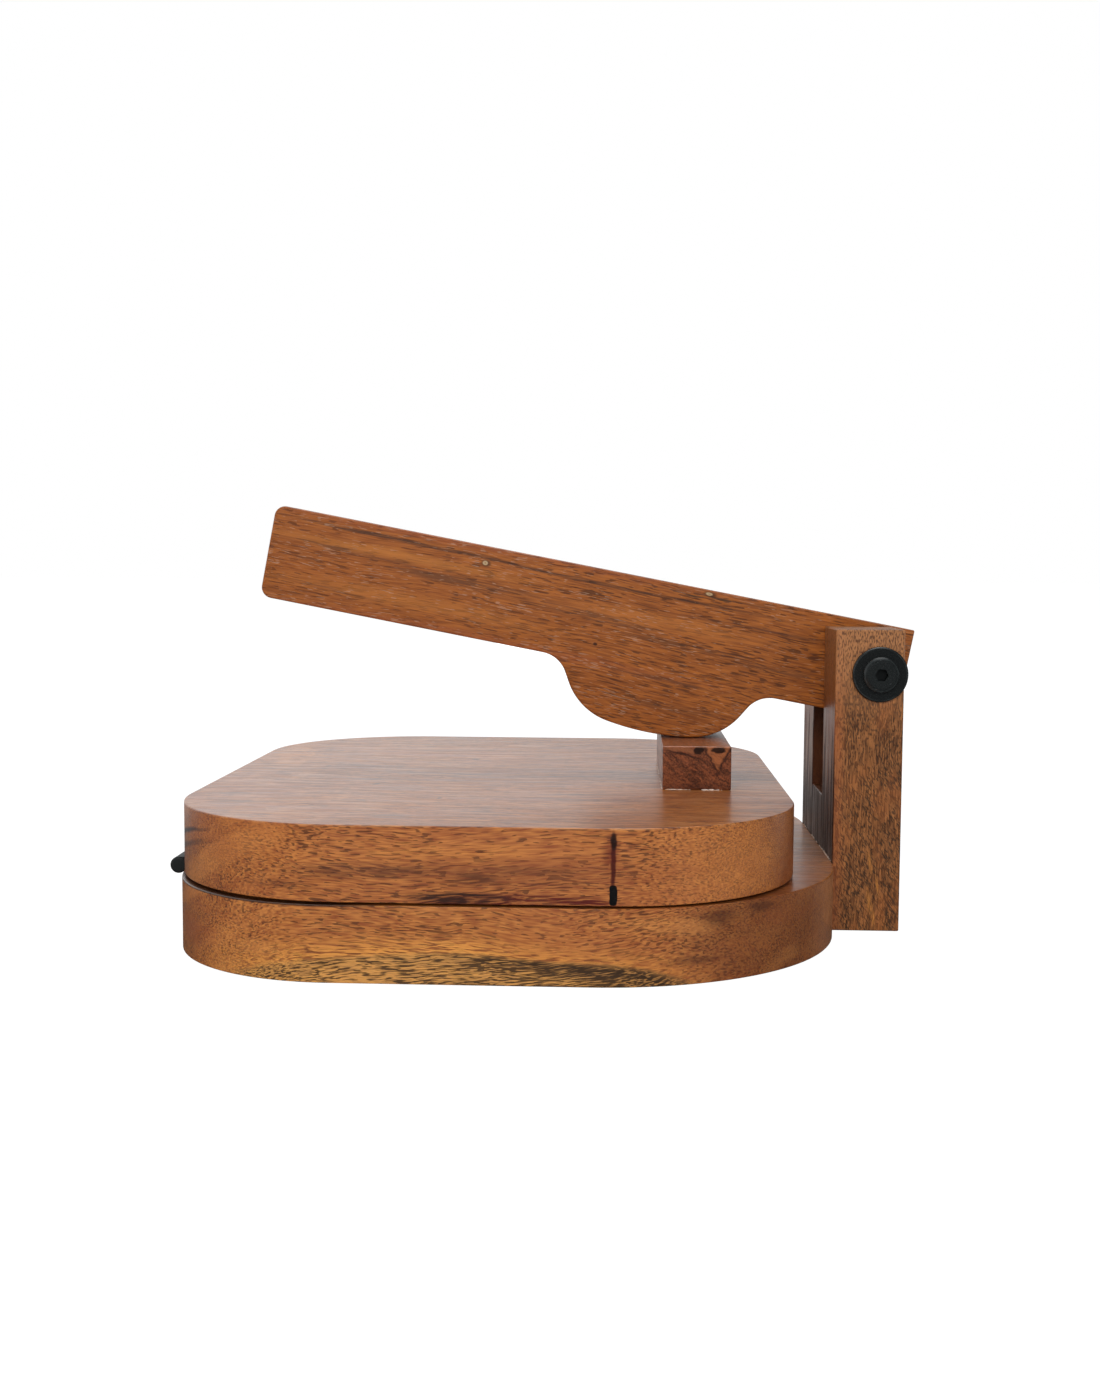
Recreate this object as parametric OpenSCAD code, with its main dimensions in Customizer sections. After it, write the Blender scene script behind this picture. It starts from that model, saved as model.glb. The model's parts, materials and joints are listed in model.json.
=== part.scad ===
// Wooden tortilla press: two boards hinged at one end, a post at the other end and a lever
// that turns on a bolt through the post and bears down on a block glued to the upper board.
// Millimetres. The origin is the middle of the base board's underside. +X runs from the hinges
// to the post, +Y runs across the boards and +Z is up.

/* [Boards] */
// Length of the base board, from the hinge end to the post
base_len = 275; // [240:1:310]
// Width of both boards, measured across the press
board_w = 312; // [290:1:350]
// Thickness of the base board
base_t = 30; // [26:0.5:38]
// Corner radius of the base board at the hinge end
base_hinge_r = 72; // [50:1:78]
// Corner radius of the base board at the post end
base_post_r = 103; // [70:1:108]
// Distance from the top plate's free end to the post
plate_setback = 20; // [14:1:30]
// Thickness of the top plate
plate_t = 29.5; // [26:0.5:36]
// Radius of the top plate's four corners
plate_r = 76.5; // [50:0.5:80]
// Gap between the closed boards
board_gap = 1; // [0.6:0.1:2]

/* [Pressure block] */
// Size of the block along the lever
block_len = 30; // [24:1:36]
// Size of the block across the lever
block_w = 102; // [70:1:130]
// Height of the block above the top plate
block_h = 19.2; // [17:0.2:21]
// Distance of the block's middle from the line where the lever bears, towards the post
block_offset = 0.7; // [-3:0.1:3]

/* [Post] */
// Thickness of the post along the lever
post_t = 29.5; // [26:0.5:36]
// Width of the post across the lever
post_w = 110; // [96:1:130]
// Height of the post above the table
post_h = 131.5; // [128:0.5:145]
// Width of the slot that the lever turns in
slot_w = 36; // [28:0.5:42]
// Height of the slot's floor above the table
slot_floor = 54.5; // [45:0.5:65]

/* [Lever] */
// Clearance between the lever and each side of the slot
slot_clearance = 0.6; // [0.3:0.1:1.5]
// Height of the lever's bar
lever_h = 42.8; // [36:0.2:46]
// Length of the lever from the pivot to the grip end
lever_reach = 279.1; // [250:0.1:300]
// Length of the lever from the pivot to its short end
lever_tail = 17.9; // [16:0.1:26]
// Corner radius at the grip end
grip_r = 5; // [2:0.5:10]
// Distance from the pivot to the middle of the belly, along the lever
belly_from_pivot = 91.6; // [84:0.1:96]
// Depth of the belly below the bar
belly_drop = 26.7; // [24:0.1:29]
// Radius of the long arc along the bottom of the belly
belly_r = 120; // [90:1:160]
// Radius of the belly's two lower corners
belly_corner_r = 29; // [24:0.5:34]
// Spacing of the centres of the belly's two lower corners
belly_corner_spacing = 30; // [24:0.5:36]
// Slope of the belly's flanks, in degrees from the bar
belly_flank = 60; // [52:1:66]
// Radius of the hollow fillets between the belly and the bar
belly_fillet_r = 13.5; // [8:0.5:16]
// Gap left between the belly and the block at rest
rest_gap = 0.3; // [0.2:0.1:0.6]

/* [Pivot] */
// Height of the pivot above the table
pivot_h = 112.2; // [110:0.1:116]
// Distance of the pivot from the outer face of the post
pivot_inset = 10.5; // [7.5:0.5:13]
// Diameter of the bolt's shank
bolt_d = 8; // [6:0.5:9]
// Length of the bolt under its head
bolt_len = 100; // [94:1:104]
// Diameter of the heads of the bolt and the cap nut
head_d = 15.3; // [14:0.1:18]
// Thickness of the heads of the bolt and the cap nut
head_t = 3; // [2.5:0.1:3.5]
// Width of the chamfer round each head
head_chamfer = 1.7; // [0.8:0.1:2]
// Hexagon socket, measured across its flats
socket_af = 5; // [4:0.5:6]
// Depth of the hexagon socket
socket_depth = 2.2; // [1.5:0.1:2.4]
// Angle by which the sockets are turned from square to the post
socket_turn = 14; // [0:1:59]
// Outer diameter of the washers
washer_d = 24; // [20:0.5:26]
// Thickness of the washers
washer_t = 2; // [1:0.1:2.5]
// Diameter of the cap nut's barrel
barrel_d = 10; // [9.6:0.1:11]
// Length of the cap nut's barrel
barrel_len = 25; // [20:1:30]
// Radial running clearance of the lever on the bolt
pivot_clearance = 0.07; // [0.03:0.01:0.1]
// Radial clearance of the bolt, the barrel and the washers in their holes
bolt_clearance = 0.2; // [0.1:0.05:0.3]
// Radial clearance between the bolt's thread and the barrel
thread_clearance = 0.05; // [0.03:0.01:0.1]

/* [Hinges] */
// Length of each hinge
hinge_len = 63; // [50:1:66]
// Distance between the middles of the two hinges
hinge_spacing = 106; // [80:1:108]
// Width of each leaf, from the pin's axis to its long edge
leaf_w = 20; // [18:0.5:22]
// Thickness of the leaves
leaf_t = 1.5; // [1.2:0.1:2]
// Corner radius of the leaves
leaf_corner_r = 5; // [2:0.5:6]
// Outer diameter of the knuckles
knuckle_d = 7; // [6:0.5:8]
// Distance of the knuckles from the ends of the boards
knuckle_standoff = 0.7; // [0.4:0.1:1]
// Gap between neighbouring knuckles
knuckle_gap = 0.3; // [0.2:0.1:0.5]
// Diameter of the hinge pins
pin_d = 3; // [2.5:0.1:3.5]
// Radial running clearance of the pins in the knuckles
pin_clearance = 0.05; // [0.03:0.01:0.1]
// Diameter of the pins' flat heads
pin_head_d = 6.4; // [4:0.1:6.6]
// Thickness of the pins' flat heads
pin_head_t = 0.8; // [0.5:0.1:1.2]
// Gap between the pins' heads and the outer knuckles
pin_head_gap = 0.2; // [0.1:0.05:0.4]

/* [Screws] */
// Diameter of the screws' shanks
screw_d = 3.5; // [3:0.1:4]
// Diameter of the screws' countersunk heads
screw_head_d = 6.8; // [6:0.1:7.5]
// Length of the screws
screw_len = 16; // [12:1:20]
// Distance of the outer screws from the ends of a leaf
screw_end = 9; // [8:0.5:12]
// Distance of the screws from the long edge of a leaf
screw_edge = 7.5; // [6:0.5:8]
// Clearance round the screws in the leaves and the boards
screw_clearance = 0.1; // [0.05:0.05:0.2]

/* [Dowels] */
// Number of dowels between the base board and the post
dowel_count = 3; // [2:1:3]
// Diameter of the dowels
dowel_d = 10; // [8:0.5:12]
// Length of the dowels
dowel_len = 48; // [40:1:60]
// Length of each dowel that lies in the post
dowel_in_post = 20; // [16:0.5:21]
// Distance between neighbouring dowels
dowel_pitch = 35; // [25:1:38]
// Chamfer at the dowels' ends
dowel_chamfer = 1; // [0.5:0.1:1.5]
// Radial glue clearance round the dowels
dowel_clearance = 0.1; // [0.05:0.05:0.2]
// Depth left free beyond each end of a dowel
dowel_end_gap = 1; // [0.5:0.1:2]

/* [Hidden] */
$fn = 96;

// A cut reaches this far past the face it opens
over = 1;
// Chord length of the steps along the lever's outline
outline_step = 2;

board_oak = "#b5753c";
lever_brown = "#9a5a2c";
post_brown = "#86502b";
block_brown = "#6f3a22";
dowel_pale = "#d2b48c";
black_metal = "#1f2223";

// Places along X
hinge_face_x = -base_len / 2;
post_x = base_len / 2;
pivot_x = post_x + post_t - pivot_inset;

// Length of the top plate, from the hinge end to its free end
plate_len = base_len - plate_setback;

// Heights
plate_bottom = base_t + board_gap;
plate_top = plate_bottom + plate_t;
block_top = plate_top + block_h;
contact_z = block_top + rest_gap;

// Lever outline, measured from the pivot with the bar level
lever_t = slot_w - 2 * slot_clearance;
bar_bottom = -lever_h / 2;
corner_angle = asin(belly_corner_spacing / 2 / (belly_r - belly_corner_r));
arc_centre = [-belly_from_pivot, bar_bottom - belly_drop + belly_r];
corner_y = arc_centre[1] - (belly_r - belly_corner_r) * cos(corner_angle);
corner_centre = [arc_centre[0] + belly_corner_spacing / 2, corner_y];
fillet_y = bar_bottom - belly_fillet_r;
fillet_dx = (belly_corner_r + belly_fillet_r + (fillet_y - corner_y) * cos(belly_flank))
            / sin(belly_flank);
fillet_half = belly_corner_spacing / 2 + fillet_dx;

// The tilt at which an arc of the belly, of centre c and radius r, just clears the block
function tilt_on(c, r) = asin((contact_z - pivot_h + r) / norm(c)) - atan2(c[1], -c[0]);
arc_tilt = tilt_on(arc_centre, belly_r);
bears_on_arc = arc_tilt < corner_angle;
lever_tilt = bears_on_arc ? arc_tilt : tilt_on(corner_centre, belly_corner_r);
bearing_centre = bears_on_arc ? arc_centre : corner_centre;
contact_x = pivot_x + bearing_centre[0] * cos(lever_tilt) + bearing_centre[1] * sin(lever_tilt);
block_x = contact_x + block_offset;

// Hinges
axis_out = knuckle_d / 2 + knuckle_standoff;
axis_x = hinge_face_x - axis_out;
axis_z = base_t + board_gap / 2;
knuckles = 5;
knuckle_len = (hinge_len - (knuckles - 1) * knuckle_gap) / knuckles;
knuckle_step = knuckle_len + knuckle_gap;
notch_h = knuckle_d / 2 + leaf_t / 3;
screw_z = leaf_w - screw_edge;
screw_ys = [for (i = [-1:1]) i * (hinge_len / 2 - screw_end)];

// Dowels
dowel_z = base_t / 2;
dowel_ys = [for (i = [0:dowel_count - 1]) (i - (dowel_count - 1) / 2) * dowel_pitch];

// Points of an arc with centre c and radius r, from angle a0 to angle a1
function arc(c, r, a0, a1) =
    let (n = max(6, ceil(abs(a1 - a0) * PI / 180 * r / outline_step)))
    [for (i = [0:n]) let (a = a0 + (a1 - a0) * i / n) c + r * [cos(a), sin(a)]];

// Turns a shape built along Z to lie along Y, with its top towards the front
module to_front() {
    rotate([90, 0, 0]) children();
}

// Flat outline of a board that reaches from the hinge end to length len
module board_outline(len, hinge_r, free_r) {
    side = board_w / 2;
    translate([hinge_face_x, 0]) {
        translate([hinge_r, -side]) square([len - hinge_r - free_r, board_w]);
        translate([0, hinge_r - side]) square([hinge_r, board_w - 2 * hinge_r]);
        translate([len - free_r, free_r - side]) square([free_r, board_w - 2 * free_r]);
        for (s = [-1, 1]) {
            translate([hinge_r, s * (side - hinge_r)]) circle(hinge_r);
            translate([len - free_r, s * (side - free_r)]) circle(free_r);
        }
    }
}

// Places its children at each screw of a leaf on both hinges; up is 1 for the top plate
module at_screws(up) {
    for (h = [-1, 1], y = screw_ys)
        translate([hinge_face_x - leaf_t, h * hinge_spacing / 2 + y, axis_z + up * screw_z])
            rotate([0, 90, 0]) children();
}

// The space that a screw takes in a board or a leaf, with its clearance
module screw_space() {
    cylinder(d = screw_d + 2 * screw_clearance, h = screw_len + over);
    cylinder(
        d1 = screw_head_d + 2 * screw_clearance,
        d2 = screw_d + 2 * screw_clearance,
        h = leaf_t
    );
}

// Countersunk cross-head screw, pointing along +Z from the plane of its head
module screw() {
    slot_depth = leaf_t * 0.6;
    slot_width = screw_d * 0.28;
    slot_length = screw_head_d * 0.55;
    tip = screw_d * 1.2;
    difference() {
        union() {
            cylinder(d1 = screw_head_d, d2 = screw_d, h = leaf_t);
            cylinder(d = screw_d, h = screw_len - tip);
            translate([0, 0, screw_len - tip]) cylinder(d1 = screw_d, d2 = 0.4, h = tip);
        }
        for (a = [0, 90])
            rotate(a)
                translate([-slot_length / 2, -slot_width / 2, -over])
                    cube([slot_length, slot_width, slot_depth + over]);
    }
}

module dowel(clearance = 0, end_gap = 0) {
    d = dowel_d + 2 * clearance;
    len = dowel_len + 2 * end_gap;
    translate([post_x + dowel_in_post + end_gap, 0, dowel_z])
        rotate([0, -90, 0])
            if (clearance > 0) {
                cylinder(d = d, h = len);
            } else {
                cylinder(d1 = d - 2 * dowel_chamfer, d2 = d, h = dowel_chamfer);
                translate([0, 0, dowel_chamfer]) cylinder(d = d, h = len - 2 * dowel_chamfer);
                translate([0, 0, len - dowel_chamfer])
                    cylinder(d1 = d, d2 = d - 2 * dowel_chamfer, h = dowel_chamfer);
            }
}

module dowel_holes() {
    for (y = dowel_ys) translate([0, y, 0]) dowel(dowel_clearance, dowel_end_gap);
}

module base_board() {
    color(board_oak)
        difference() {
            linear_extrude(base_t) board_outline(base_len, base_hinge_r, base_post_r);
            at_screws(-1) screw_space();
            dowel_holes();
        }
}

module upright_post() {
    color(post_brown)
        difference() {
            translate([post_x, -post_w / 2, 0]) cube([post_t, post_w, post_h]);
            translate([post_x - over, -slot_w / 2, slot_floor])
                cube([post_t + 2 * over, slot_w, post_h]);
            translate([pivot_x, 0, pivot_h]) to_front() {
                cylinder(d = bolt_d + 2 * bolt_clearance, h = post_w + 2 * over, center = true);
                translate([0, 0, -post_w / 2 - over])
                    cylinder(d = barrel_d + 2 * bolt_clearance, h = barrel_len + over);
            }
            dowel_holes();
        }
}

module post_dowels() {
    color(dowel_pale) for (y = dowel_ys) translate([0, y, 0]) dowel();
}

module top_plate() {
    color(board_oak)
        difference() {
            translate([0, 0, plate_bottom])
                linear_extrude(plate_t) board_outline(plate_len, plate_r, plate_r);
            at_screws(1) screw_space();
        }
}

module pressure_block() {
    color(block_brown)
        translate([block_x - block_len / 2, -block_w / 2, plate_top])
            cube([block_len, block_w, block_h]);
}

// Side view of the lever, from the pivot, with the grip towards -X
module lever_outline() {
    mid = -belly_from_pivot;
    top = lever_h / 2;
    corner_dx = belly_corner_spacing / 2;
    polygon(concat(
        [[lever_tail, top], [lever_tail, bar_bottom]],
        arc([mid + fillet_half, fillet_y], belly_fillet_r, 90, 90 + belly_flank),
        arc([mid + corner_dx, corner_y], belly_corner_r, belly_flank - 90, corner_angle - 90),
        arc(arc_centre, belly_r, corner_angle - 90, -corner_angle - 90),
        arc([mid - corner_dx, corner_y], belly_corner_r, -corner_angle - 90, -belly_flank - 90),
        arc([mid - fillet_half, fillet_y], belly_fillet_r, 90 - belly_flank, 90),
        arc([grip_r - lever_reach, bar_bottom + grip_r], grip_r, 270, 180),
        arc([grip_r - lever_reach, top - grip_r], grip_r, 180, 90)
    ));
}

module lever() {
    color(lever_brown)
        translate([pivot_x, 0, pivot_h])
            difference() {
                rotate([0, lever_tilt, 0]) to_front()
                    linear_extrude(lever_t, center = true) lever_outline();
                to_front()
                    cylinder(
                        d = bolt_d + 2 * pivot_clearance,
                        h = lever_t + 2 * over,
                        center = true
                    );
            }
}

// Round flat head with a chamfer and a hexagon socket, standing up from z = 0
module socket_head() {
    difference() {
        union() {
            cylinder(d = head_d, h = head_t - head_chamfer / 2);
            translate([0, 0, head_t - head_chamfer / 2])
                cylinder(d1 = head_d, d2 = head_d - 2 * head_chamfer, h = head_chamfer / 2);
        }
        translate([0, 0, head_t - socket_depth])
            rotate(-socket_turn)
                cylinder(d = socket_af / cos(30), h = socket_depth + over, $fn = 6);
    }
}

module pivot_bolt() {
    color(black_metal)
        translate([pivot_x, 0, pivot_h]) to_front()
            translate([0, 0, post_w / 2 + washer_t]) {
                socket_head();
                translate([0, 0, -bolt_len]) cylinder(d = bolt_d, h = bolt_len);
            }
}

module pivot_washers() {
    color(black_metal)
        translate([pivot_x, 0, pivot_h]) to_front()
            for (z = [post_w / 2, -post_w / 2 - washer_t])
                translate([0, 0, z])
                    difference() {
                        cylinder(d = washer_d, h = washer_t);
                        translate([0, 0, -over])
                            cylinder(
                                d = (z > 0 ? bolt_d : barrel_d) + 2 * bolt_clearance,
                                h = washer_t + 2 * over
                            );
                    }
}

module pivot_cap_nut() {
    color(black_metal)
        translate([pivot_x, 0, pivot_h]) rotate([-90, 0, 0])
            translate([0, 0, post_w / 2 + washer_t]) {
                socket_head();
                translate([0, 0, -barrel_len])
                    difference() {
                        cylinder(d = barrel_d, h = barrel_len);
                        translate([0, 0, -over])
                            cylinder(
                                d = bolt_d + 2 * thread_clearance,
                                h = barrel_len - head_t + over
                            );
                    }
            }
}

// Flat leaf from the pin's axis to its long edge, with its own knuckles.
// up is 1 for the leaf on the top plate and -1 for the leaf on the base board.
module hinge_leaf(side, up) {
    own = up > 0 ? [0, 2, 4] : [1, 3];
    other = up > 0 ? [1, 3] : [0, 2, 4];
    color(black_metal)
        difference() {
            translate([axis_x, side * hinge_spacing / 2, axis_z]) {
                difference() {
                    mirror([0, 0, up > 0 ? 0 : 1]) {
                        translate([axis_out, 0, 0]) rotate([90, 0, -90])
                            linear_extrude(leaf_t) leaf_outline();
                        for (i = own)
                            translate([0, knuckle_y(i), 0])
                                cube([axis_out, knuckle_len, knuckle_d / 2]);
                    }
                    for (i = other)
                        translate([-over, knuckle_y(i) - knuckle_gap, -notch_h])
                            cube([
                                axis_out + 2 * over,
                                knuckle_len + 2 * knuckle_gap,
                                2 * notch_h
                            ]);
                    to_front() cylinder(d = knuckle_d, h = hinge_len + 2 * over, center = true);
                }
                for (i = own)
                    translate([0, knuckle_y(i) + knuckle_len, 0]) to_front()
                        difference() {
                            cylinder(d = knuckle_d, h = knuckle_len);
                            translate([0, 0, -over])
                                cylinder(
                                    d = pin_d + 2 * pin_clearance,
                                    h = knuckle_len + 2 * over
                                );
                        }
            }
            at_screws(up) screw_space();
        }
}

function knuckle_y(i) = i * knuckle_step - hinge_len / 2;

// Face view of a leaf: its lower edge is on the pin's axis and its far corners are round
module leaf_outline() {
    half = hinge_len / 2;
    translate([-half, 0]) square([hinge_len, leaf_w - leaf_corner_r]);
    translate([leaf_corner_r - half, 0]) square([hinge_len - 2 * leaf_corner_r, leaf_w]);
    for (s = [-1, 1])
        translate([s * (half - leaf_corner_r), leaf_w - leaf_corner_r]) circle(leaf_corner_r);
}

module hinge_pin(side) {
    color(black_metal)
        translate([axis_x, side * hinge_spacing / 2, axis_z]) to_front() {
            cylinder(d = pin_d, h = hinge_len + 2 * pin_head_gap, center = true);
            for (s = [0, 1])
                mirror([0, 0, s])
                    translate([0, 0, hinge_len / 2 + pin_head_gap])
                        cylinder(d = pin_head_d, h = pin_head_t);
        }
}

module front_hinge_base_leaf() {
    hinge_leaf(-1, -1);
}

module front_hinge_plate_leaf() {
    hinge_leaf(-1, 1);
}

module front_hinge_pin() {
    hinge_pin(-1);
}

module rear_hinge_base_leaf() {
    hinge_leaf(1, -1);
}

module rear_hinge_plate_leaf() {
    hinge_leaf(1, 1);
}

module rear_hinge_pin() {
    hinge_pin(1);
}

module base_leaf_screws() {
    color(black_metal) at_screws(-1) screw();
}

module plate_leaf_screws() {
    color(black_metal) at_screws(1) screw();
}

base_board();
upright_post();
post_dowels();
top_plate();
pressure_block();
lever();
pivot_bolt();
pivot_washers();
pivot_cap_nut();
front_hinge_base_leaf();
front_hinge_plate_leaf();
front_hinge_pin();
rear_hinge_base_leaf();
rear_hinge_plate_leaf();
rear_hinge_pin();
base_leaf_screws();
plate_leaf_screws();
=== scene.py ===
import json
import math
from functools import reduce
from math import radians

import bmesh
import bpy
from mathutils import Matrix, Quaternion, Vector


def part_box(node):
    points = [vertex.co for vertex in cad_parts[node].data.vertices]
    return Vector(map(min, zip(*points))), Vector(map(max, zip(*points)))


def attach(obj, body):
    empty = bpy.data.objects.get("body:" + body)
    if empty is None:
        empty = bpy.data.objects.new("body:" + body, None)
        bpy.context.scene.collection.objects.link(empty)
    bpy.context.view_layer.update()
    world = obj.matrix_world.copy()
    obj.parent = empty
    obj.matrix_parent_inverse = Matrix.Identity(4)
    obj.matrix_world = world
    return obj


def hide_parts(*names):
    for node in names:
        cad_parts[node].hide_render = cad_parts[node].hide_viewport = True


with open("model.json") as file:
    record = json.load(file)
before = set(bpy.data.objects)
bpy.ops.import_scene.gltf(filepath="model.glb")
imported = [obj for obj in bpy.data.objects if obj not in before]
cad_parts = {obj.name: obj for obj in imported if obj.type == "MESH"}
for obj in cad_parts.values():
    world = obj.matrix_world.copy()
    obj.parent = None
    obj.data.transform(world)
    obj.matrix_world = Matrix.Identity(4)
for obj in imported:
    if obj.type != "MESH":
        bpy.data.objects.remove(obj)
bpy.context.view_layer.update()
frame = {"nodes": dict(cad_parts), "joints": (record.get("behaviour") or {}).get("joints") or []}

bl_info = {
    "name": "Wooden tortilla press",
    "version": (1, 0, 0),
    "blender": (4, 5, 0),
    "location": "View3D > Sidebar > Tortilla press",
    "description": "Varnished wooden tortilla press with a slotted post, a lever and black hinges",
    "category": "Add Mesh",
}

BASE_LOW, BASE_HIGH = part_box("base_board")
PLATE_LOW, PLATE_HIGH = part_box("top_plate")
POST_LOW, POST_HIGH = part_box("upright_post")
BLOCK_LOW, BLOCK_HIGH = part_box("pressure_block")
LEVER_LOW, LEVER_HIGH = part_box("lever")
BOLT_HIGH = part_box("pivot_bolt")[1]
JOINTS = {joint["name"]: Vector(joint["pos_m"]) for joint in frame["joints"]}
PIVOT, HINGE = JOINTS["lever_pivot"], JOINTS["plate_hinge"]
OVERCUT = 0.01  # how far the cutter of a through hole stands out on each side
MERGE = 1e-7  # points nearer than this are one
SAME = 1e-6  # places nearer than this are alike
SMOOTH = radians(35)  # faces that meet at less than this are shaded as one
CREASE = radians(60)  # edges sharper than this are rounded
FINE = 96  # steps round the bolt, the nut and the washers
SCREW_REACH, SCREW_HOLE = 0.0175, 0.00185  # length and radius of a hole for a hinge screw


def length(name, description, default):
    return bpy.props.FloatProperty(
        name=name, description=description, default=default, min=0.0, precision=5,
        subtype="DISTANCE", unit="LENGTH",
    )


def angle(name, description, degrees):
    return bpy.props.FloatProperty(
        name=name, description=description, default=radians(degrees), subtype="ANGLE",
        unit="ROTATION",
    )


def colour(name, description, default):
    return bpy.props.FloatVectorProperty(
        name=name, description=description, default=default, min=0.0, max=1.0, size=3,
        subtype="COLOR",
    )


def amount(name, description, default, high=1.0):
    return bpy.props.FloatProperty(
        name=name, description=description, default=default, min=0.0, max=high, subtype="FACTOR"
    )


class BoardSizes(bpy.types.PropertyGroup):
    base_length: length("Base length", "Base board, hinge end to post", BASE_HIGH.x - BASE_LOW.x)
    base_thickness: length("Base thickness", "Thickness of the base board", BASE_HIGH.z)
    base_hinge_radius: length("Base hinge corners", "Corner radius at the hinges", 0.072)
    base_post_radius: length("Base post corners", "Corner radius at the post", 0.103)
    plate_length: length("Plate length", "Top plate, end to end", PLATE_HIGH.x - PLATE_LOW.x)
    plate_radius: length("Plate corners", "Radius of the top plate's corners", 0.0765)
    width: length("Width", "Width of both boards", BASE_HIGH.y - BASE_LOW.y)
    arris: length("Eased edge", "Rounding of the boards' sharp edges", 0.0005)


class PostSizes(bpy.types.PropertyGroup):
    slot_width: length("Slot width", "Width of the slot for the lever", 0.036)
    slot_floor: length("Slot floor", "Height of the slot's floor", 0.0545)
    bolt_hole: length("Bolt hole", "Radius of the hole for the bolt", 0.0042)
    barrel_hole: length("Barrel hole", "Radius of the hole for the nut's barrel", 0.0052)
    barrel_depth: length("Barrel depth", "Depth of the hole for the nut's barrel", 0.023)
    arris: length("Eased edge", "Rounding of the post's sharp edges", 0.0007)


class LeverSizes(bpy.types.PropertyGroup):
    bar_height: length("Bar height", "Height of the lever's bar", 0.0428)
    reach: length("Reach", "Pivot to the grip's end", 0.2791)
    tail: length("Tail", "Pivot to the short end", 0.0179)
    grip_radius: length("Grip corners", "Corner radius at the grip", 0.005)
    belly_distance: length("Belly distance", "Pivot to the middle of the belly", 0.0916)
    belly_drop: length("Belly drop", "Depth of the belly below the bar", 0.0267)
    belly_radius: length("Belly radius", "Long arc under the belly", 0.12)
    corner_radius: length("Belly corners", "Radius of the belly's lower corners", 0.029)
    corner_spacing: length("Corner spacing", "Between the lower corners' centres", 0.03)
    fillet_radius: length("Fillets", "Hollow fillets between belly and bar", 0.0135)
    flank: angle("Flank", "Slope of the belly's flanks from the bar", 60)
    tilt: angle("Tilt", "Tilt of the lever when it rests on the block", 10.7895)
    bore: length("Bore", "Radius of the hole for the bolt", 0.00407)
    arris: length("Eased edge", "Rounding of the lever's sharp edges", 0.0008)


class MetalSizes(bpy.types.PropertyGroup):
    head_radius: length("Head radius", "Radius of the bolt's and the nut's heads", 0.00765)
    head_height: length("Head height", "Thickness of the heads", 0.003)
    head_chamfer: length("Head chamfer", "Width of the chamfer round a head", 0.0017)
    shank_radius: length("Shank radius", "Radius of the bolt's shank", 0.004)
    barrel_radius: length("Barrel radius", "Radius of the nut's barrel", 0.005)
    barrel_length: length("Barrel length", "Length of the nut's barrel", 0.025)
    barrel_bore: length("Barrel bore", "Radius of the nut's thread", 0.00405)
    socket_flats: length("Socket", "Hexagon socket across its flats", 0.005)
    socket_depth: length("Socket depth", "Depth of the hexagon socket", 0.0034)
    washer_radius: length("Washer radius", "Outer radius of a washer", 0.012)
    washer_height: length("Washer thickness", "Thickness of a washer", 0.002)
    pin_radius: length("Hinge pin", "Radius of a hinge pin", 0.0015)
    pin_head_radius: length("Pin head", "Radius of a hinge pin's head", 0.0032)
    pin_head_height: length("Pin head height", "Thickness of a pin's head", 0.0008)
    leaf_edge: length("Leaf edge", "Rounding of the hinge leaves' edges", 0.0002)


class WoodColours(bpy.types.PropertyGroup):
    board_light: colour("Board, light", "Light grain of the boards", (0.55, 0.205, 0.044))
    board_dark: colour("Board, dark", "Dark grain of the boards", (0.24, 0.060, 0.016))
    plate_light: colour("Plate, light", "Light grain of the top plate", (0.54, 0.192, 0.041))
    plate_dark: colour("Plate, dark", "Dark grain of the top plate", (0.23, 0.056, 0.016))
    lever_light: colour("Lever, light", "Light grain of the lever", (0.44, 0.131, 0.016))
    lever_dark: colour("Lever, dark", "Dark grain of the lever", (0.165, 0.041, 0.006))
    post_light: colour("Post, light", "Light grain of the post", (0.345, 0.130, 0.037))
    post_dark: colour("Post, dark", "Dark grain of the post", (0.115, 0.043, 0.014))
    block_light: colour("Block, light", "Light grain of the block", (0.235, 0.070, 0.026))
    block_dark: colour("Block, dark", "Dark grain of the block", (0.045, 0.011, 0.006))
    sapwood: colour("Sapwood", "Golden wood low on the base's front", (0.56, 0.285, 0.078))
    pore: colour("Pores", "Open pores of the wood", (0.060, 0.020, 0.008))
    gloss: amount("Gloss", "Strength of the varnish", 0.55)


class MetalColours(bpy.types.PropertyGroup):
    black: colour("Black", "Black finish of the bolt and hinges", (0.0120, 0.0142, 0.0145))
    worn: colour("Worn", "Scratches in the black finish", (0.16, 0.17, 0.17))
    glue: colour("Glue", "Dried glue at the block's and post's foot", (0.72, 0.62, 0.54))


class StageSettings(bpy.types.PropertyGroup):
    camera_place: bpy.props.FloatVectorProperty(
        name="Camera", description="Place of the camera", default=(0.04364, -0.73069, 0.15657),
        size=3, subtype="TRANSLATION", unit="LENGTH",
    )
    camera_turn: bpy.props.FloatVectorProperty(
        name="Aim", description="Pitch down, roll and yaw of the camera",
        default=(0.0758, 0.00636, 0.0435), size=3, subtype="EULER", unit="ROTATION",
    )
    focal_length: bpy.props.FloatProperty(
        name="Lens", description="Focal length in millimetres", default=40.817, min=1.0,
        subtype="DISTANCE_CAMERA", unit="CAMERA",
    )
    lamp_power: amount("Lamps", "Brightness of the lamps", 1.0, 10.0)
    floor: colour("Floor", "Colour of the floor and backdrop", (0.9, 0.9, 0.9))


GROUPS = (
    ("press_boards", BoardSizes),
    ("press_post", PostSizes),
    ("press_lever", LeverSizes),
    ("press_metal", MetalSizes),
    ("press_wood_colours", WoodColours),
    ("press_metal_colours", MetalColours),
    ("press_stage", StageSettings),
)


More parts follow.
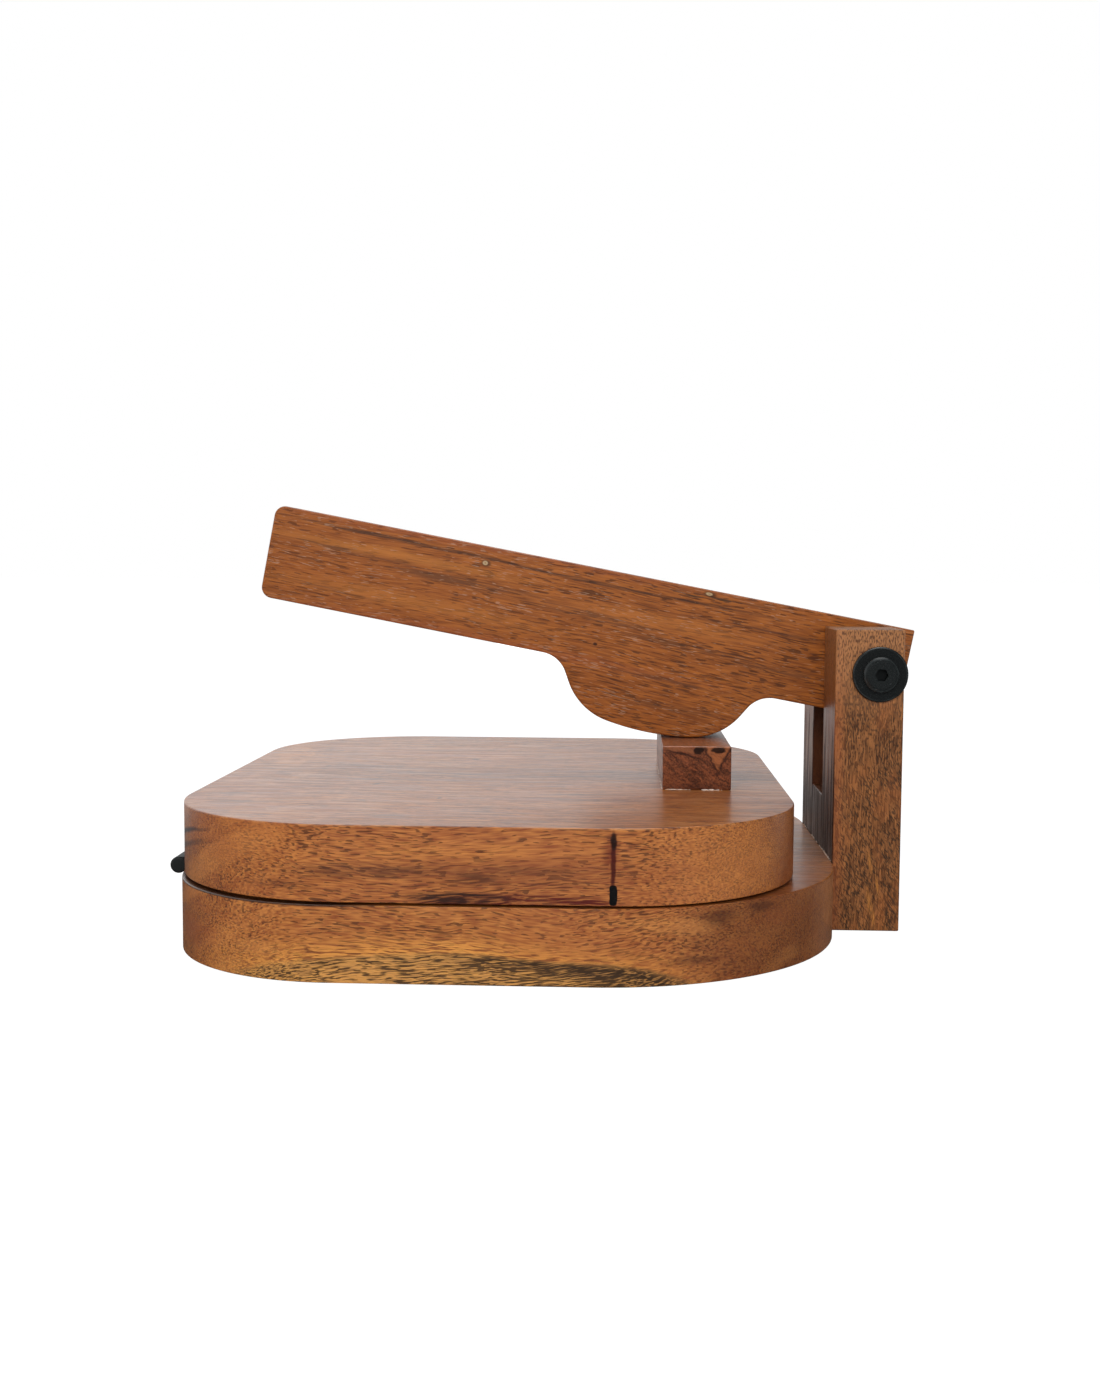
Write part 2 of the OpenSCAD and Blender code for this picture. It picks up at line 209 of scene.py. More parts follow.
class Finish:
    """A node material or world, built up by short calls that each add one node."""

    def __init__(self, name, kind="materials", place="Object"):
        self.owner = getattr(bpy.data, kind).new(name)
        self.owner.use_nodes = True
        self.tree = self.owner.node_tree
        self.tree.nodes.clear()
        self.place = self.add("TexCoord").outputs[place]

    def add(self, kind, sockets=None, **settings):
        node = self.tree.nodes.new("ShaderNode" + kind)
        for name, value in settings.items():
            setattr(node, name, value)
        for name, value in (sockets or {}).items():
            if isinstance(value, bpy.types.NodeSocket):
                self.tree.links.new(value, node.inputs[name])
            else:
                node.inputs[name].default_value = value
        return node

    def sum(self, operation, a, b=0.0):
        return self.add("Math", {0: a, 1: b}, operation=operation).outputs[0]

    def plus(self, a, b):
        return self.sum("ADD", a, b)

    def minus(self, a, b):
        return self.sum("SUBTRACT", a, b)

    def times(self, *values):
        return reduce(lambda a, b: self.sum("MULTIPLY", a, b), values)

    def vector(self, operation, a, b):
        return self.add("VectorMath", {0: a, 1: b}, operation=operation).outputs[0]

    def far(self, place):
        """How far a place is from its origin."""
        return self.add("VectorMath", {0: place}, operation="LENGTH").outputs["Value"]

    def axis(self, number, place=None):
        """X, Y or Z of a place, as 0, 1 or 2."""
        return self.add("SeparateXYZ", {0: place or self.place}).outputs[number]

    def moved(self, origin, turn=(0, 0, 0), size=(1, 1, 1), place=None):
        """The place seen from an origin, a turn and a size, as a fitted box's own place."""
        sockets = {"Vector": place or self.place, "Location": origin, "Rotation": turn,
                   "Scale": size}
        return self.add("Mapping", sockets, vector_type="TEXTURE").outputs[0]

    def noise(self, place, scale, detail=2.0, roughness=0.5, output=0):
        sockets = {"Vector": self.vector("MULTIPLY", place, scale), "Scale": 1.0,
                   "Detail": detail, "Roughness": roughness}
        return self.add("TexNoise", sockets).outputs[output]

    def ragged(self, scale, reach, place=None, detail=3.0, roughness=0.6):
        """A place pushed about by noise."""
        place = place or self.place
        drift = self.noise(place, scale, detail, roughness, "Color")
        drift = self.vector("SUBTRACT", drift, (0.5, 0.5, 0.5))
        return self.vector("ADD", place, self.vector("MULTIPLY", drift, reach))

    def level(self, value, low, high, to_low=0.0, to_high=1.0, curve="SMOOTHSTEP"):
        sockets = {"Value": value, "From Min": low, "From Max": high, "To Min": to_low,
                   "To Max": to_high}
        return self.add("MapRange", sockets, interpolation_type=curve).outputs[0]

    def mix(self, factor, a, b):
        a, b = (c if isinstance(c, bpy.types.NodeSocket) else (*c, 1) for c in (a, b))
        return self.add("Mix", {0: factor, 6: a, 7: b}, data_type="RGBA").outputs[2]

    def spot(self, place, origin, size, turn=0.0, soft=0.4):
        """1 inside an ellipsoid and 0 outside it, turned about Y, with a soft rim."""
        inside = self.moved(origin, (0, radians(turn), 0), size, place)
        return self.level(self.far(inside), 1 - soft, 1, 1, 0)

    def done(self, base, roughness, height, relief, **fixed):
        shader = self.add("BsdfPrincipled", {"Base Color": base, "Roughness": roughness})
        for name, value in fixed.items():
            shader.inputs[name.replace("_", " ")].default_value = value
        bump = self.add("Bump", {"Height": height, "Strength": 1.0, "Distance": relief})
        self.tree.links.new(bump.outputs[0], shader.inputs["Normal"])
        self.add("OutputMaterial", {"Surface": shader.outputs[0]})
        return self.owner


class Grain:
    """Solid wood whose grain runs along the local X of a turned place."""

    def __init__(self, finish, light, dark, pore, origin=(0, 0, 0), turn=(0, 0, 0),
                 wander=0.012, bands=62.0, pores=0.60, seed=0.0, contrast=1.0, dash=1.0):
        f = self.finish = finish
        self.straight = f.moved(origin, turn)
        local = f.vector("ADD", self.straight, (seed, seed * 0.37, seed * 0.61))
        for scale, reach in (((9, 14, 14), wander), ((28, 45, 45), wander * 0.22),
                             ((90, 160, 160), wander * 0.05)):
            local = f.ragged(scale, (0, reach, reach), local, 1.0, 0.5)
        self.local = local
        tone = 0.5
        for scale, weight, detail in (
            ((4, bands, bands), 0.42, 1.0),
            ((10, bands * 5, bands * 5), 0.22, 1.0),
            ((40, 950, 950), 0.20, 0.0),
            ((110 * dash, 1750, 1750), 1.10, 0.0),
        ):
            layer = f.minus(f.noise(local, scale, detail), 0.5)
            tone = f.plus(tone, f.times(layer, contrast * weight))
        base = f.mix(f.level(tone, 0.0, 1.0), dark, light)
        fibre = f.noise(local, (70, 1500, 1500), 0.0)
        dashes = f.noise(local, (150 * dash, 1700, 1700), 0.0)
        limit = f.level(f.noise(local, (14, 150, 150), 1.0), 0.35, 0.65, pores + 0.05, pores - 0.03)
        holes = f.level(f.minus(dashes, limit), 0.0, 0.05)
        self.colour = f.mix(f.times(holes, 0.70), base, pore)
        self.height = f.minus(f.times(fibre, 0.4), holes)
        self.roughness = f.level(f.noise(local, (30, 220, 220)), 0.3, 0.7, 0.36, 0.48)

    def tint(self, mask, shade, strength=1.0):
        f = self.finish
        self.colour = f.mix(f.times(mask, strength), self.colour, shade)

    def patch(self, shade, strength, *spot, by=None, **options):
        """Tints an ellipsoid, as far as another mask lets it."""
        mask = self.finish.spot(*spot, **options)
        self.tint(mask if by is None else self.finish.times(mask, by), shade, strength)

    def painted_sheen(self, shade, strength, lean, inner, right=1.0):
        """Painted sheen: slanting soft bands of lighter and darker colour towards the board's ends,
        for the wood's shifting lustre.
        """
        f = self.finish
        slanted = f.moved((0, 0, 0), (0, radians(lean), 0), place=self.straight)
        bands = f.noise(slanted, (13, 9, 95), 2.0, 0.55)
        x = f.axis(0, self.straight)
        ends = f.plus(f.level(x, -inner, -inner - 0.05), f.level(x, inner, inner + 0.05, 0, right))
        self.tint(f.times(ends, f.level(bands, 0.50, 0.66)), shade, strength)
        self.tint(f.times(ends, f.level(bands, 0.48, 0.34)), (0.16, 0.040, 0.012), strength * 0.8)

    def wavy(self, rise=0.004, scale=(22, 20, 60)):
        return self.finish.ragged(scale, (0, 0, rise), self.straight, 2.0, 0.5)

    def varnished(self, context, relief, share=1.0, height=None, dull=None):
        """The finished wood under varnish, duller or with another height where one is given."""
        f = self.finish
        roughness = self.roughness if dull is None else f.plus(self.roughness, dull)
        return f.done(
            self.colour, roughness, self.height if height is None else height, relief,
            Specular_IOR_Level=0.4, Coat_Roughness=0.26, Coat_IOR=1.5,
            Coat_Weight=context.scene.press_wood_colours.gloss * share,
        )


def wood(context, name, colours, **settings):
    """A wooden finish and its grain, in two of the panel's colours."""
    look = context.scene.press_wood_colours
    f = Finish(name)
    light, dark = getattr(look, colours + "_light"), getattr(look, colours + "_dark")
    return f, Grain(f, light, dark, look.pore, **settings)


def base_wood(context):
    f, g = wood(context, "base_board_grain", "board", wander=0.022, bands=58.0, seed=0.31, dash=1.5)
    ragged = f.ragged((26, 30, 80), (0.024, 0.0, 0.006))
    front, top, end = BASE_LOW.y, BASE_HIGH.z, BASE_HIGH.x
    x, height = f.axis(0), f.axis(2)
    g.patch((0.105, 0.027, 0.010), 0.62, ragged, (0.100, -0.11, 0.012), (0.052, 0.10, 0.05),
            soft=0.7)
    for at, y, z, wide, tall in ((0.080, -0.142, 0.025, 0.011, 0.005),
                                 (0.099, -0.132, 0.027, 0.008, 0.0035),
                                 (0.070, -0.146, 0.009, 0.016, 0.003)):
        g.patch((0.050, 0.014, 0.008), 0.62, ragged, (at, y, z), (wide, 0.02, tall), soft=0.8)
    # painted sheen: lighter and darker slanting bands towards the base's ends
    g.painted_sheen((0.66, 0.25, 0.060), 0.40, -38, 0.055, 0.12)
    glow = f.spot(ragged, (-0.022, front, 0.000), (0.116, 0.07, 0.0215), soft=0.55)
    threads = f.noise(g.local, (120, 1200, 1400), 1.0, 0.6)
    g.tint(f.times(glow, f.level(threads, 0.44, 0.52, 0.25, 1)), (0.80, 0.345, 0.062), 0.78)
    g.tint(f.times(glow, f.level(threads, 0.46, 0.40)), (0.15, 0.038, 0.015), 0.75)
    warm = f.noise(f.place, (16, 16, 55), 2.0, 0.55)
    g.tint(f.level(warm, 0.50, 0.66), (0.34, 0.085, 0.022), 0.22)
    g.tint(f.level(warm, 0.48, 0.34), (0.68, 0.28, 0.070), 0.25)
    g.patch((0.26, 0.060, 0.018), 0.60, ragged, (-0.122, -0.115, 0.0125), (0.018, 0.06, 0.0100),
            soft=0.9)
    # painted shadow of the joint: a dark line along the base's top edge at the front hinge corner
    rounding = context.scene.press_boards.base_hinge_radius
    corner = f.moved((BASE_LOW.x + rounding, front + rounding, 0.0))
    out = f.far(f.vector("MULTIPLY", corner, (1.0, 1.0, 0.0)))
    joint = f.times(
        f.level(height, top - 0.0010, top - 0.0004),
        f.level(out, rounding - 0.0050, rounding - 0.0030),
        f.level(f.axis(0, corner), 0.030, 0.0),
        f.level(f.axis(1, corner), 0.0, -0.020),
    )
    g.tint(joint, (0.016, 0.006, 0.004), 0.9)
    # the paler edge under the right end of the top face
    pale = f.times(f.level(x, end - 0.018, end - 0.004),
                   f.level(height, top - 0.0005, top - 0.0012))
    g.tint(pale, (0.52, 0.235, 0.120), 0.42)
    # the arch of streaked sapwood low on the front
    arch = f.spot(ragged, (-0.017, front, -0.0015), (0.094, 0.060, 0.0138), soft=0.14)
    inner = f.spot(ragged, (-0.022, front, -0.0030), (0.087, 0.060, 0.0125), soft=0.3)
    rim = f.times(arch, f.minus(1.0, inner), f.level(x, -0.05, 0.03, 0.15, 0.9))
    slant = f.moved((0, 0, 0), (0, radians(-7), 0), place=g.local)
    lean = f.minus(f.noise(f.place, (24, 40, 120)), 0.5)
    dark = f.plus(f.noise(slant, (150, 2000, 2500), 1.0, 0.6), f.times(lean, 0.26))
    dark = f.plus(dark, f.level(x, -0.06, 0.04, -0.02, 0.07))
    g.tint(arch, context.scene.press_wood_colours.sapwood, 0.62)
    g.tint(f.times(rim, f.level(dark, 0.36, 0.52, 0.35, 1)), (0.042, 0.019, 0.010), 0.85)
    g.tint(f.times(arch, f.level(dark, 0.47, 0.55)), (0.034, 0.018, 0.009), 0.88)
    return g.varnished(context, 0.00008)


def plate_wood(context):
    f, g = wood(context, "top_plate_grain", "plate", wander=0.020, pores=0.61, seed=1.13, dash=1.5)
    front, top = PLATE_LOW.y, PLATE_HIGH.z
    ragged = f.ragged((60, 30, 240), (0.012, 0.0, 0.002))
    # painted sheen: lighter and darker slanting bands towards the plate's ends
    g.painted_sheen((0.64, 0.24, 0.058), 0.40, -35, 0.060, 0.4)
    warm = f.noise(f.place, (13, 16, 60), 2.0, 0.55)
    g.tint(f.level(warm, 0.50, 0.66), (0.32, 0.080, 0.022), 0.28)
    threads = f.noise(g.local, (70, 1300, 1500), 1.0, 0.6)
    for shade, strength, origin, size, soft, by in (
        ((0.66, 0.25, 0.050), 0.4, (-0.012, front, 0.0505), (0.070, 0.03, 0.0055), 0.9,
         f.level(threads, 0.46, 0.55)),
        ((0.21, 0.054, 0.017), 0.48, (0.004, front, 0.0430), (0.080, 0.03, 0.0095), 1.0, None),
        # painted light: the front's right part lighter
        ((0.74, 0.29, 0.075), 0.30, (0.098, front, 0.0440), (0.048, 0.06, 0.03), 0.8, None),
        # painted reflection of the post: a darker red at the right end
        ((0.27, 0.060, 0.018), 0.45, (PLATE_HIGH.x, -0.09, 0.0440), (0.012, 0.06, 0.03), 0.9, None),
        ((0.17, 0.042, 0.016), 0.5, (-0.137, -0.100, 0.0420), (0.017, 0.05, 0.0090), 1.0, None),
    ):
        g.patch(shade, strength, ragged, origin, size, soft=soft, by=by)
    seam = g.wavy(0.006, (30, 30, 60))
    for z, strength in ((0.0490, 1.0), (0.0435, 0.7)):
        g.patch((0.045, 0.012, 0.008), strength, seam, (-0.1300, -0.105, z), (0.027, 0.06, 0.0017),
                -22, 0.8)
    # the dark red and black streaks just above the joint, and the brown ones over them
    broken = f.level(threads, 0.42, 0.55, 0.30, 1)
    brown = (0.085, 0.026, 0.012)
    for shade, strength, at, z, wide, tall, soft in (
        ((0.105, 0.012, 0.007), 1.0, 0.008, 0.0314, 0.048, 0.0046, 0.35),
        ((0.038, 0.014, 0.009), 0.95, -0.016, 0.0334, 0.026, 0.0030, 0.5),
        (brown, 0.80, -0.0095, 0.0405, 0.015, 0.0042, 0.8),
        (brown, 0.65, -0.050, 0.0430, 0.045, 0.0045, 0.8),
        (brown, 0.50, 0.010, 0.0440, 0.030, 0.0025, 0.8),
        (brown, 0.55, -0.085, 0.0370, 0.025, 0.0030, 0.8),
    ):
        g.patch(shade, strength, ragged, (at, front, z), (wide, 0.02, tall), soft=soft, by=broken)
    # the crack with its red halo, open mouth and plug of black filler
    x = PLATE_LOW.x + 0.1802
    wavy = f.ragged((0, 0, 210), (0.0016, 0, 0), None, 2.0, 0.5)
    for shade, strength, at, z, wide, tall, soft in (
        ((0.13, 0.014, 0.006), 0.72, x - 0.0008, 0.0515, 0.0046, 0.0125, 1.0),
        ((0.055, 0.004, 0.003), 0.92, x, 0.047, 0.0013, 0.0160, 0.6),
        ((0.012, 0.004, 0.003), 0.9, x, 0.0556, 0.0016, 0.0042, 0.5),
    ):
        g.patch(shade, strength, wavy, (at, front, z), (wide, 0.006, tall), soft=soft)
    filler = f.moved((x, front, 0.0352), size=(0.0015, 0.004, 0.0039), place=wavy)
    filler = f.add("VectorMath", {0: filler}, operation="ABSOLUTE").outputs[0]
    plug = f.plus(f.sum("POWER", f.axis(0, filler), 3.5), f.sum("POWER", f.axis(2, filler), 6.0))
    plug = f.times(f.level(plug, 0.75, 1.1, 1, 0), f.level(f.axis(1, filler), 1, 1.2, 1, 0))
    g.tint(plug, (0.004, 0.004, 0.004))
    # the top face: cloudy dark and pale lines, and a few pin knots
    upper = f.level(f.axis(2), top - 0.0010, top - 0.0002)
    lines = f.noise(g.local, (32, 300, 300), 4.0, 0.70)
    cloud = f.level(f.noise(f.place, (10, 26, 0)), 0.42, 0.60, 0.50, 0.95)
    dark = f.times(f.level(lines, 0.51, 0.64), cloud)
    g.tint(f.times(upper, dark), (0.100, 0.032, 0.017), 0.85)
    g.tint(f.times(upper, f.level(lines, 0.49, 0.37)), (0.70, 0.35, 0.15), 0.36)
    for at, y, wide, deep in ((-0.027, 0.050, 0.0022, 0.0030), (-0.0644, -0.0438, 0.0018, 0.0034),
                              (-0.0304, -0.0846, 0.0009, 0.0026), (0.0138, -0.0124, 0.0009, 0.0016),
                              (-0.0975, 0.0174, 0.0008, 0.0022)):
        g.patch((0.045, 0.014, 0.008), 0.85, ragged, (at, y, top), (wide, deep, 0.003), soft=0.5)
    return g.varnished(context, 0.00014)


def lever_wood(context):
    sizes = context.scene.press_lever
    f, g = wood(context, "lever_grain", "lever", origin=tuple(PIVOT), turn=(0, sizes.tilt, 0),
                wander=0.007, bands=80.0, pores=0.63, seed=2.4, contrast=0.74)
    low, left, side = -sizes.bar_height / 2, -sizes.reach, -(LEVER_HIGH.y - LEVER_LOW.y) / 2

    def mark(shade, strength, place, a, h, wide, tall, *rest, y=0, deep=0.1, **options):
        """Tints a spot at some distance from the grip's end and height above the lower edge."""
        g.patch(shade, strength, place, (left + a, y, low + h), (wide, deep, tall), *rest,
                **options)

    mark((0.23, 0.055, 0.006), 0.30, g.straight, 0.020, 0.020, 0.110, 0.05, soft=0.9)
    for a, h, wide, tall, shade in (
        (0.100, 0.0420, 0.180, 0.0034, (0.30, 0.070, 0.020)),
        (0.100, 0.0000, 0.160, 0.0042, (0.32, 0.082, 0.024)),
        (0.060, 0.0305, 0.090, 0.0040, (0.52, 0.185, 0.026)),
        (0.070, 0.0110, 0.100, 0.0060, (0.50, 0.170, 0.025)),
        (0.185, 0.0240, 0.070, 0.0060, (0.50, 0.165, 0.026)),
    ):
        mark(shade, 0.5, g.wavy(), a, h, wide, tall, soft=0.9)
    thin = f.level(f.noise(g.local, (34, 1500, 1500), 1.0, 0.6), 0.43, 0.53, 0.14, 1)
    for a, h, wide, tilt in ((0.080, 0.0374, 0.105, 1.0), (0.190, 0.0358, 0.090, 0.2)):
        mark((0.060, 0.024, 0.014), 0.85, g.wavy(0.0022, (18, 20, 60)), a, h, wide, 0.0011, tilt,
             0.8, by=f.sum("MAXIMUM", thin, 0.55))
    drift = g.wavy(0.0035, (14, 20, 30))
    for a, h, wide, tall, tilt, strength in (
        (0.048, 0.0378, 0.056, 0.0014, 1.6, 1.0),
        (0.140, 0.0362, 0.058, 0.0011, 0.8, 0.85),
        (0.205, 0.0395, 0.050, 0.0009, 0.3, 0.6),
        (0.040, 0.0285, 0.040, 0.0018, 2.0, 0.75),
        (0.092, 0.0245, 0.052, 0.0036, 1.6, 0.75),
        (0.150, 0.0205, 0.050, 0.0030, 1.4, 0.7),
        (0.190, 0.0160, 0.050, 0.0022, 0.8, 0.65),
        (0.228, 0.0290, 0.045, 0.0016, 0.4, 0.65),
        (0.185, -0.0010, 0.045, 0.0014, 1.2, 0.7),
        (0.196, -0.0140, 0.034, 0.0030, 0.0, 0.5),
        (0.240, 0.0130, 0.036, 0.0026, 1.0, 0.6),
        (0.028, 0.0095, 0.036, 0.0012, 1.0, 0.5),
    ):
        mark((0.075, 0.032, 0.018), strength * 0.85, drift, a, h, wide, tall, tilt, 0.7, by=thin)
    # pale flecks in some of the pores
    flecks = f.noise(g.local, (250, 2700, 2700), 0.0)
    limit = f.level(f.noise(g.local, (26, 160, 160)), 0.40, 0.64, 0.76, 0.645)
    g.tint(f.level(f.minus(flecks, limit), 0.0, 0.05), (0.46, 0.27, 0.17), 0.48)
    # two small knots, the shadows beside the second and one dark dot, on the near side only
    for a, h, wide, tall in ((0.0995, 0.0350, 0.0017, 0.0014), (0.2025, 0.0409, 0.0022, 0.0010)):
        for shade, strength, shift, across, up, soft in (
            ((0.060, 0.026, 0.010), 0.8, (0.0004, 0.0001), 1.8, 1.5, 0.6),
            ((0.52, 0.38, 0.20), 0.85, (0, 0), 0.9, 0.9, 0.5),
            ((0.26, 0.13, 0.05), 0.7, (0, 0), 0.4, 0.4, 0.6),
        ):
            mark(shade, strength, g.straight, a + shift[0], h - shift[1], wide * across, tall * up,
                 soft=soft, y=side, deep=0.004)
    for a, h, wide, tall in ((0.2085, 0.0395, 0.0075, 0.0007), (0.1960, 0.0385, 0.0060, 0.0006)):
        mark((0.07, 0.035, 0.016), 0.8, g.straight, a, h, wide, tall, soft=0.7, y=side, deep=0.004)
    mark((0.02, 0.008, 0.005), 0.9, g.straight, 0.156, 0.0084, 0.0013, 0.0009, soft=0.5, y=side,
         deep=0.003)
    return g.varnished(context, 0.00010)


def post_wood(context):
    f, g = wood(context, "post_grain", "post", origin=(0.15, 0, 0), turn=(0, radians(-90), 0),
                bands=90.0, pores=0.58, seed=3.7, dash=1.8)
    x, y, height = (f.axis(i) for i in range(3))
    patches = f.noise(f.place, (80, 60, 42), 2.0, 0.6)
    upright = f.noise(f.place, (2000, 2000, 620), 0.0)
    slanting = f.moved((0, 0, 0), (0, radians(-32), 0))
    slanting = f.noise(slanting, (2300, 2300, 560), 0.0)
    speckle = f.mix(f.level(height, 0.085, 0.060), upright, slanting)
    spread = f.level(patches, 0.36, 0.66, 0.585, 0.52)
    g.tint(f.level(f.minus(speckle, spread), 0.0, 0.07), (0.030, 0.019, 0.011), 0.74)
    warm = f.noise(f.place, (110, 110, 42))
    g.tint(f.level(warm, 0.50, 0.66), (0.42, 0.125, 0.028), 0.26)
    g.tint(f.level(x, POST_LOW.x + 0.006, POST_LOW.x + 0.001), (0.36, 0.095, 0.028), 0.35)
    top = f.level(height, 0.088, 0.126)
    g.tint(top, (0.47, 0.205, 0.077), 0.60)
    g.tint(f.times(top, f.level(upright, 0.52, 0.60)), (0.090, 0.034, 0.017), 0.75)
    lines = f.noise(g.local, (22, 900, 900), 1.0)
    for at, z, wide, tall in ((0.1545, 0.010, 0.0016, 0.014), (0.1575, 0.019, 0.0010, 0.008),
                              (0.1560, 0.006, 0.0010, 0.010), (0.1540, 0.030, 0.0012, 0.008)):
        g.patch((0.56, 0.215, 0.036), 0.6, f.place, (at, POST_LOW.y, z), (wide, 0.03, tall), -10,
                1.0, by=f.level(lines, 0.42, 0.56, 0.3, 1))
    for at, z, wide, tall in ((0.1640, 0.0655, 0.0050, 0.0050), (0.1635, 0.0120, 0.0045, 0.014),
                              (0.1540, 0.0560, 0.0050, 0.0040), (0.1610, 0.0350, 0.0050, 0.0060)):
        g.patch((0.030, 0.020, 0.013), 0.68, f.place, (at, POST_LOW.y, z), (wide, 0.03, tall),
                soft=1.0, by=f.level(speckle, 0.42, 0.54))
    # the rough sawn face towards the boards
    saw = f.noise(f.place, (600, 460, 20), 2.0, 0.6)
    left = f.times(f.level(x, POST_LOW.x + 0.0006, POST_LOW.x + 0.0002),
                   f.level(height, 0.094, 0.080))
    g.tint(f.times(left, f.level(saw, 0.46, 0.56)), (0.022, 0.009, 0.006), 0.85)
    # painted sheen: pale greyish streaks on the sawn face, stronger upwards
    pale = f.times(f.level(saw, 0.46, 0.38), f.level(height, 0.040, 0.070, 0.35, 1))
    g.tint(f.times(left, pale), (0.22, 0.160, 0.115), 0.6)
    # painted shade: the sawn face darker towards the boards
    g.tint(f.times(left, f.level(height, 0.076, 0.038)), (0.010, 0.004, 0.003), 0.85)
    dull = f.times(left, f.level(saw, 0.44, 0.54, 0.0, 0.34))
    # painted shade inside the slot, on its cheeks above the floor
    slot = context.scene.press_post.slot_width / 2
    inside = f.level(f.sum("ABSOLUTE", y), slot + 0.0009, slot + 0.0004)
    g.tint(f.times(inside, f.level(height, 0.0530, 0.0550)), (0.050, 0.015, 0.007), 0.85)
    rough = f.plus(g.height, f.times(left, f.times(saw, 3.0)))
    cap = f.level(height, POST_HIGH.z - 0.0008, POST_HIGH.z - 0.0002, 0.0, 0.25)
    return g.varnished(context, 0.00012, 0.4, rough, f.plus(dull, cap))


def block_wood(context):
    middle = (BLOCK_LOW + BLOCK_HIGH) / 2
    f, g = wood(context, "block_grain", "block", origin=tuple(middle), turn=(0, 0, radians(90)),
                wander=0.006, bands=110.0, seed=4.9)
    ragged = f.ragged((190, 40, 190), (0.005, 0.0, 0.005))
    x, front, z = BLOCK_LOW
    streaks = f.moved((x, 0, z), (0, radians(38), 0), place=ragged)
    streaks = f.noise(streaks, (170, 30, 1200), 2.0, 0.6)
    g.tint(f.level(streaks, 0.50, 0.62), (0.36, 0.095, 0.034), 0.32)
    g.tint(f.level(streaks, 0.47, 0.36), (0.022, 0.007, 0.005), 0.42)
    g.patch((0.30, 0.105, 0.040), 0.6, ragged, (x + 0.008, front, z + 0.0178),
            (0.014, 0.05, 0.0022), 7, 0.9)
    g.patch((0.016, 0.005, 0.004), 0.8, ragged, (x + 0.0100, front, z + 0.0150),
            (0.0125, 0.03, 0.0010), 15, 0.7)
    # the pale wedge between dark lines, with a dark knot at each of its upper corners
    away = f.sum("ABSOLUTE", f.minus(f.axis(0, ragged), x + 0.0240))
    rise = f.minus(f.axis(2, ragged), z + 0.0078)
    slope = f.minus(away, f.times(rise, 0.47))
    near = f.level(f.axis(1), front + 0.03, front + 0.01)
    g.tint(f.times(f.level(slope, 0.0011, 0.0004), near), (0.020, 0.006, 0.005), 0.75)
    g.tint(f.times(f.level(slope, 0.0002, -0.0010), near), (0.34, 0.105, 0.032),
           f.level(streaks, 0.40, 0.56, 0.6, 0.95))
    for at, wide in ((0.0160, 0.0032), (0.0244, 0.0036)):
        g.patch((0.010, 0.004, 0.003), 0.95, ragged, (x + at, front, z + 0.0177),
                (wide, 0.006, 0.0020), soft=0.4)
    g.patch((0.030, 0.008, 0.005), 0.6, ragged, (x + 0.016, front, z + 0.001),
            (0.020, 0.05, 0.0035), soft=1.0)
    # painted sheen: the top face lighter
    g.tint(f.level(f.axis(2), BLOCK_HIGH.z - 0.0008, BLOCK_HIGH.z - 0.0002), (0.46, 0.16, 0.066),
           0.36)
    return g.varnished(context, 0.00008)


def black_metal(context):
    look = context.scene.press_metal_colours
    sizes = context.scene.press_metal
    f = Finish("black_satin")
    dust = f.noise(f.place, (900, 900, 900), 3.0, 0.6)
    marks = f.noise(f.moved((0, 0, 0), (0, 0.7, 0.4)), (1700, 160, 500), 1.0)
    where = f.noise(f.place, (170, 170, 170), 1.0)
    scratch = f.times(f.level(marks, 0.76, 0.80), f.level(where, 0.52, 0.62))
    for x, z, tilt in ((0.0037, -0.0037, -25), (-0.0024, -0.0061, 20)):
        spot = f.spot(f.place, (PIVOT.x + x, POST_LOW.y, PIVOT.z + z), (0.0009, 0.01, 0.00012),
                      tilt, 0.6)
        scratch = f.sum("MAXIMUM", scratch, spot)
    base = f.mix(f.level(dust, 0.3, 0.7, 0, 0.12), look.black, [c * 1.7 for c in look.black])
    base = f.mix(f.times(scratch, 0.7), base, look.worn)
    # the shadow in the corner between the head and the washer
    out = f.far(f.vector("MULTIPLY", f.moved(tuple(PIVOT)), (1.0, 0.0, 1.0)))
    ring = f.times(f.level(out, sizes.head_radius + 0.0001, sizes.head_radius + 0.0004),
                   f.level(out, sizes.washer_radius + 0.0004, sizes.washer_radius + 0.0002))
    base = f.mix(f.times(ring, 0.40), base, (0.003, 0.0035, 0.0036))
    # painted shade inside the sockets
    face = POST_HIGH.y + sizes.washer_height + sizes.head_height
    depth = f.sum("ABSOLUTE", f.axis(1))
    socket = f.times(f.level(depth, face - 0.0003, face - 0.0012), f.level(out, 0.0034, 0.0031))
    dim = f.level(depth, face - 0.0030, face - 0.0032, 0.85, 0.45)
    base = f.mix(f.times(socket, dim), base, (0.001, 0.001, 0.001))
    # faint lighter rings on the edges of the washers and the heads: partly wear, partly painted
    # highlight on the rims
    for radius in (sizes.washer_radius - 0.0007, sizes.head_radius - 0.0006):
        away = f.sum("ABSOLUTE", f.minus(out, radius))
        edge = f.times(f.level(away, 0.0004, 0.0), f.level(where, 0.35, 0.60, 0.15, 0.6))
        base = f.mix(edge, base, [c * 3.4 for c in look.black])
    rough = f.plus(f.level(dust, 0.3, 0.7, 0.21, 0.28), f.times(socket, 0.4))
    hinges = f.level(f.axis(0), BASE_LOW.x + 0.010, BASE_LOW.x + 0.005, 0.0, 0.35)
    return f.done(base, f.plus(rough, hinges), f.minus(f.times(dust, 0.06), scratch), 0.000012,
                  Specular_IOR_Level=0.5)


def dowel_wood(context):
    f = Finish("dowel_grain")
    g = Grain(f, (0.60, 0.42, 0.24), (0.42, 0.27, 0.13), (0.2, 0.12, 0.06), wander=0.002,
              bands=220.0, pores=0.68, seed=6.1)
    return f.done(g.colour, 0.7, g.height, 0.00005)


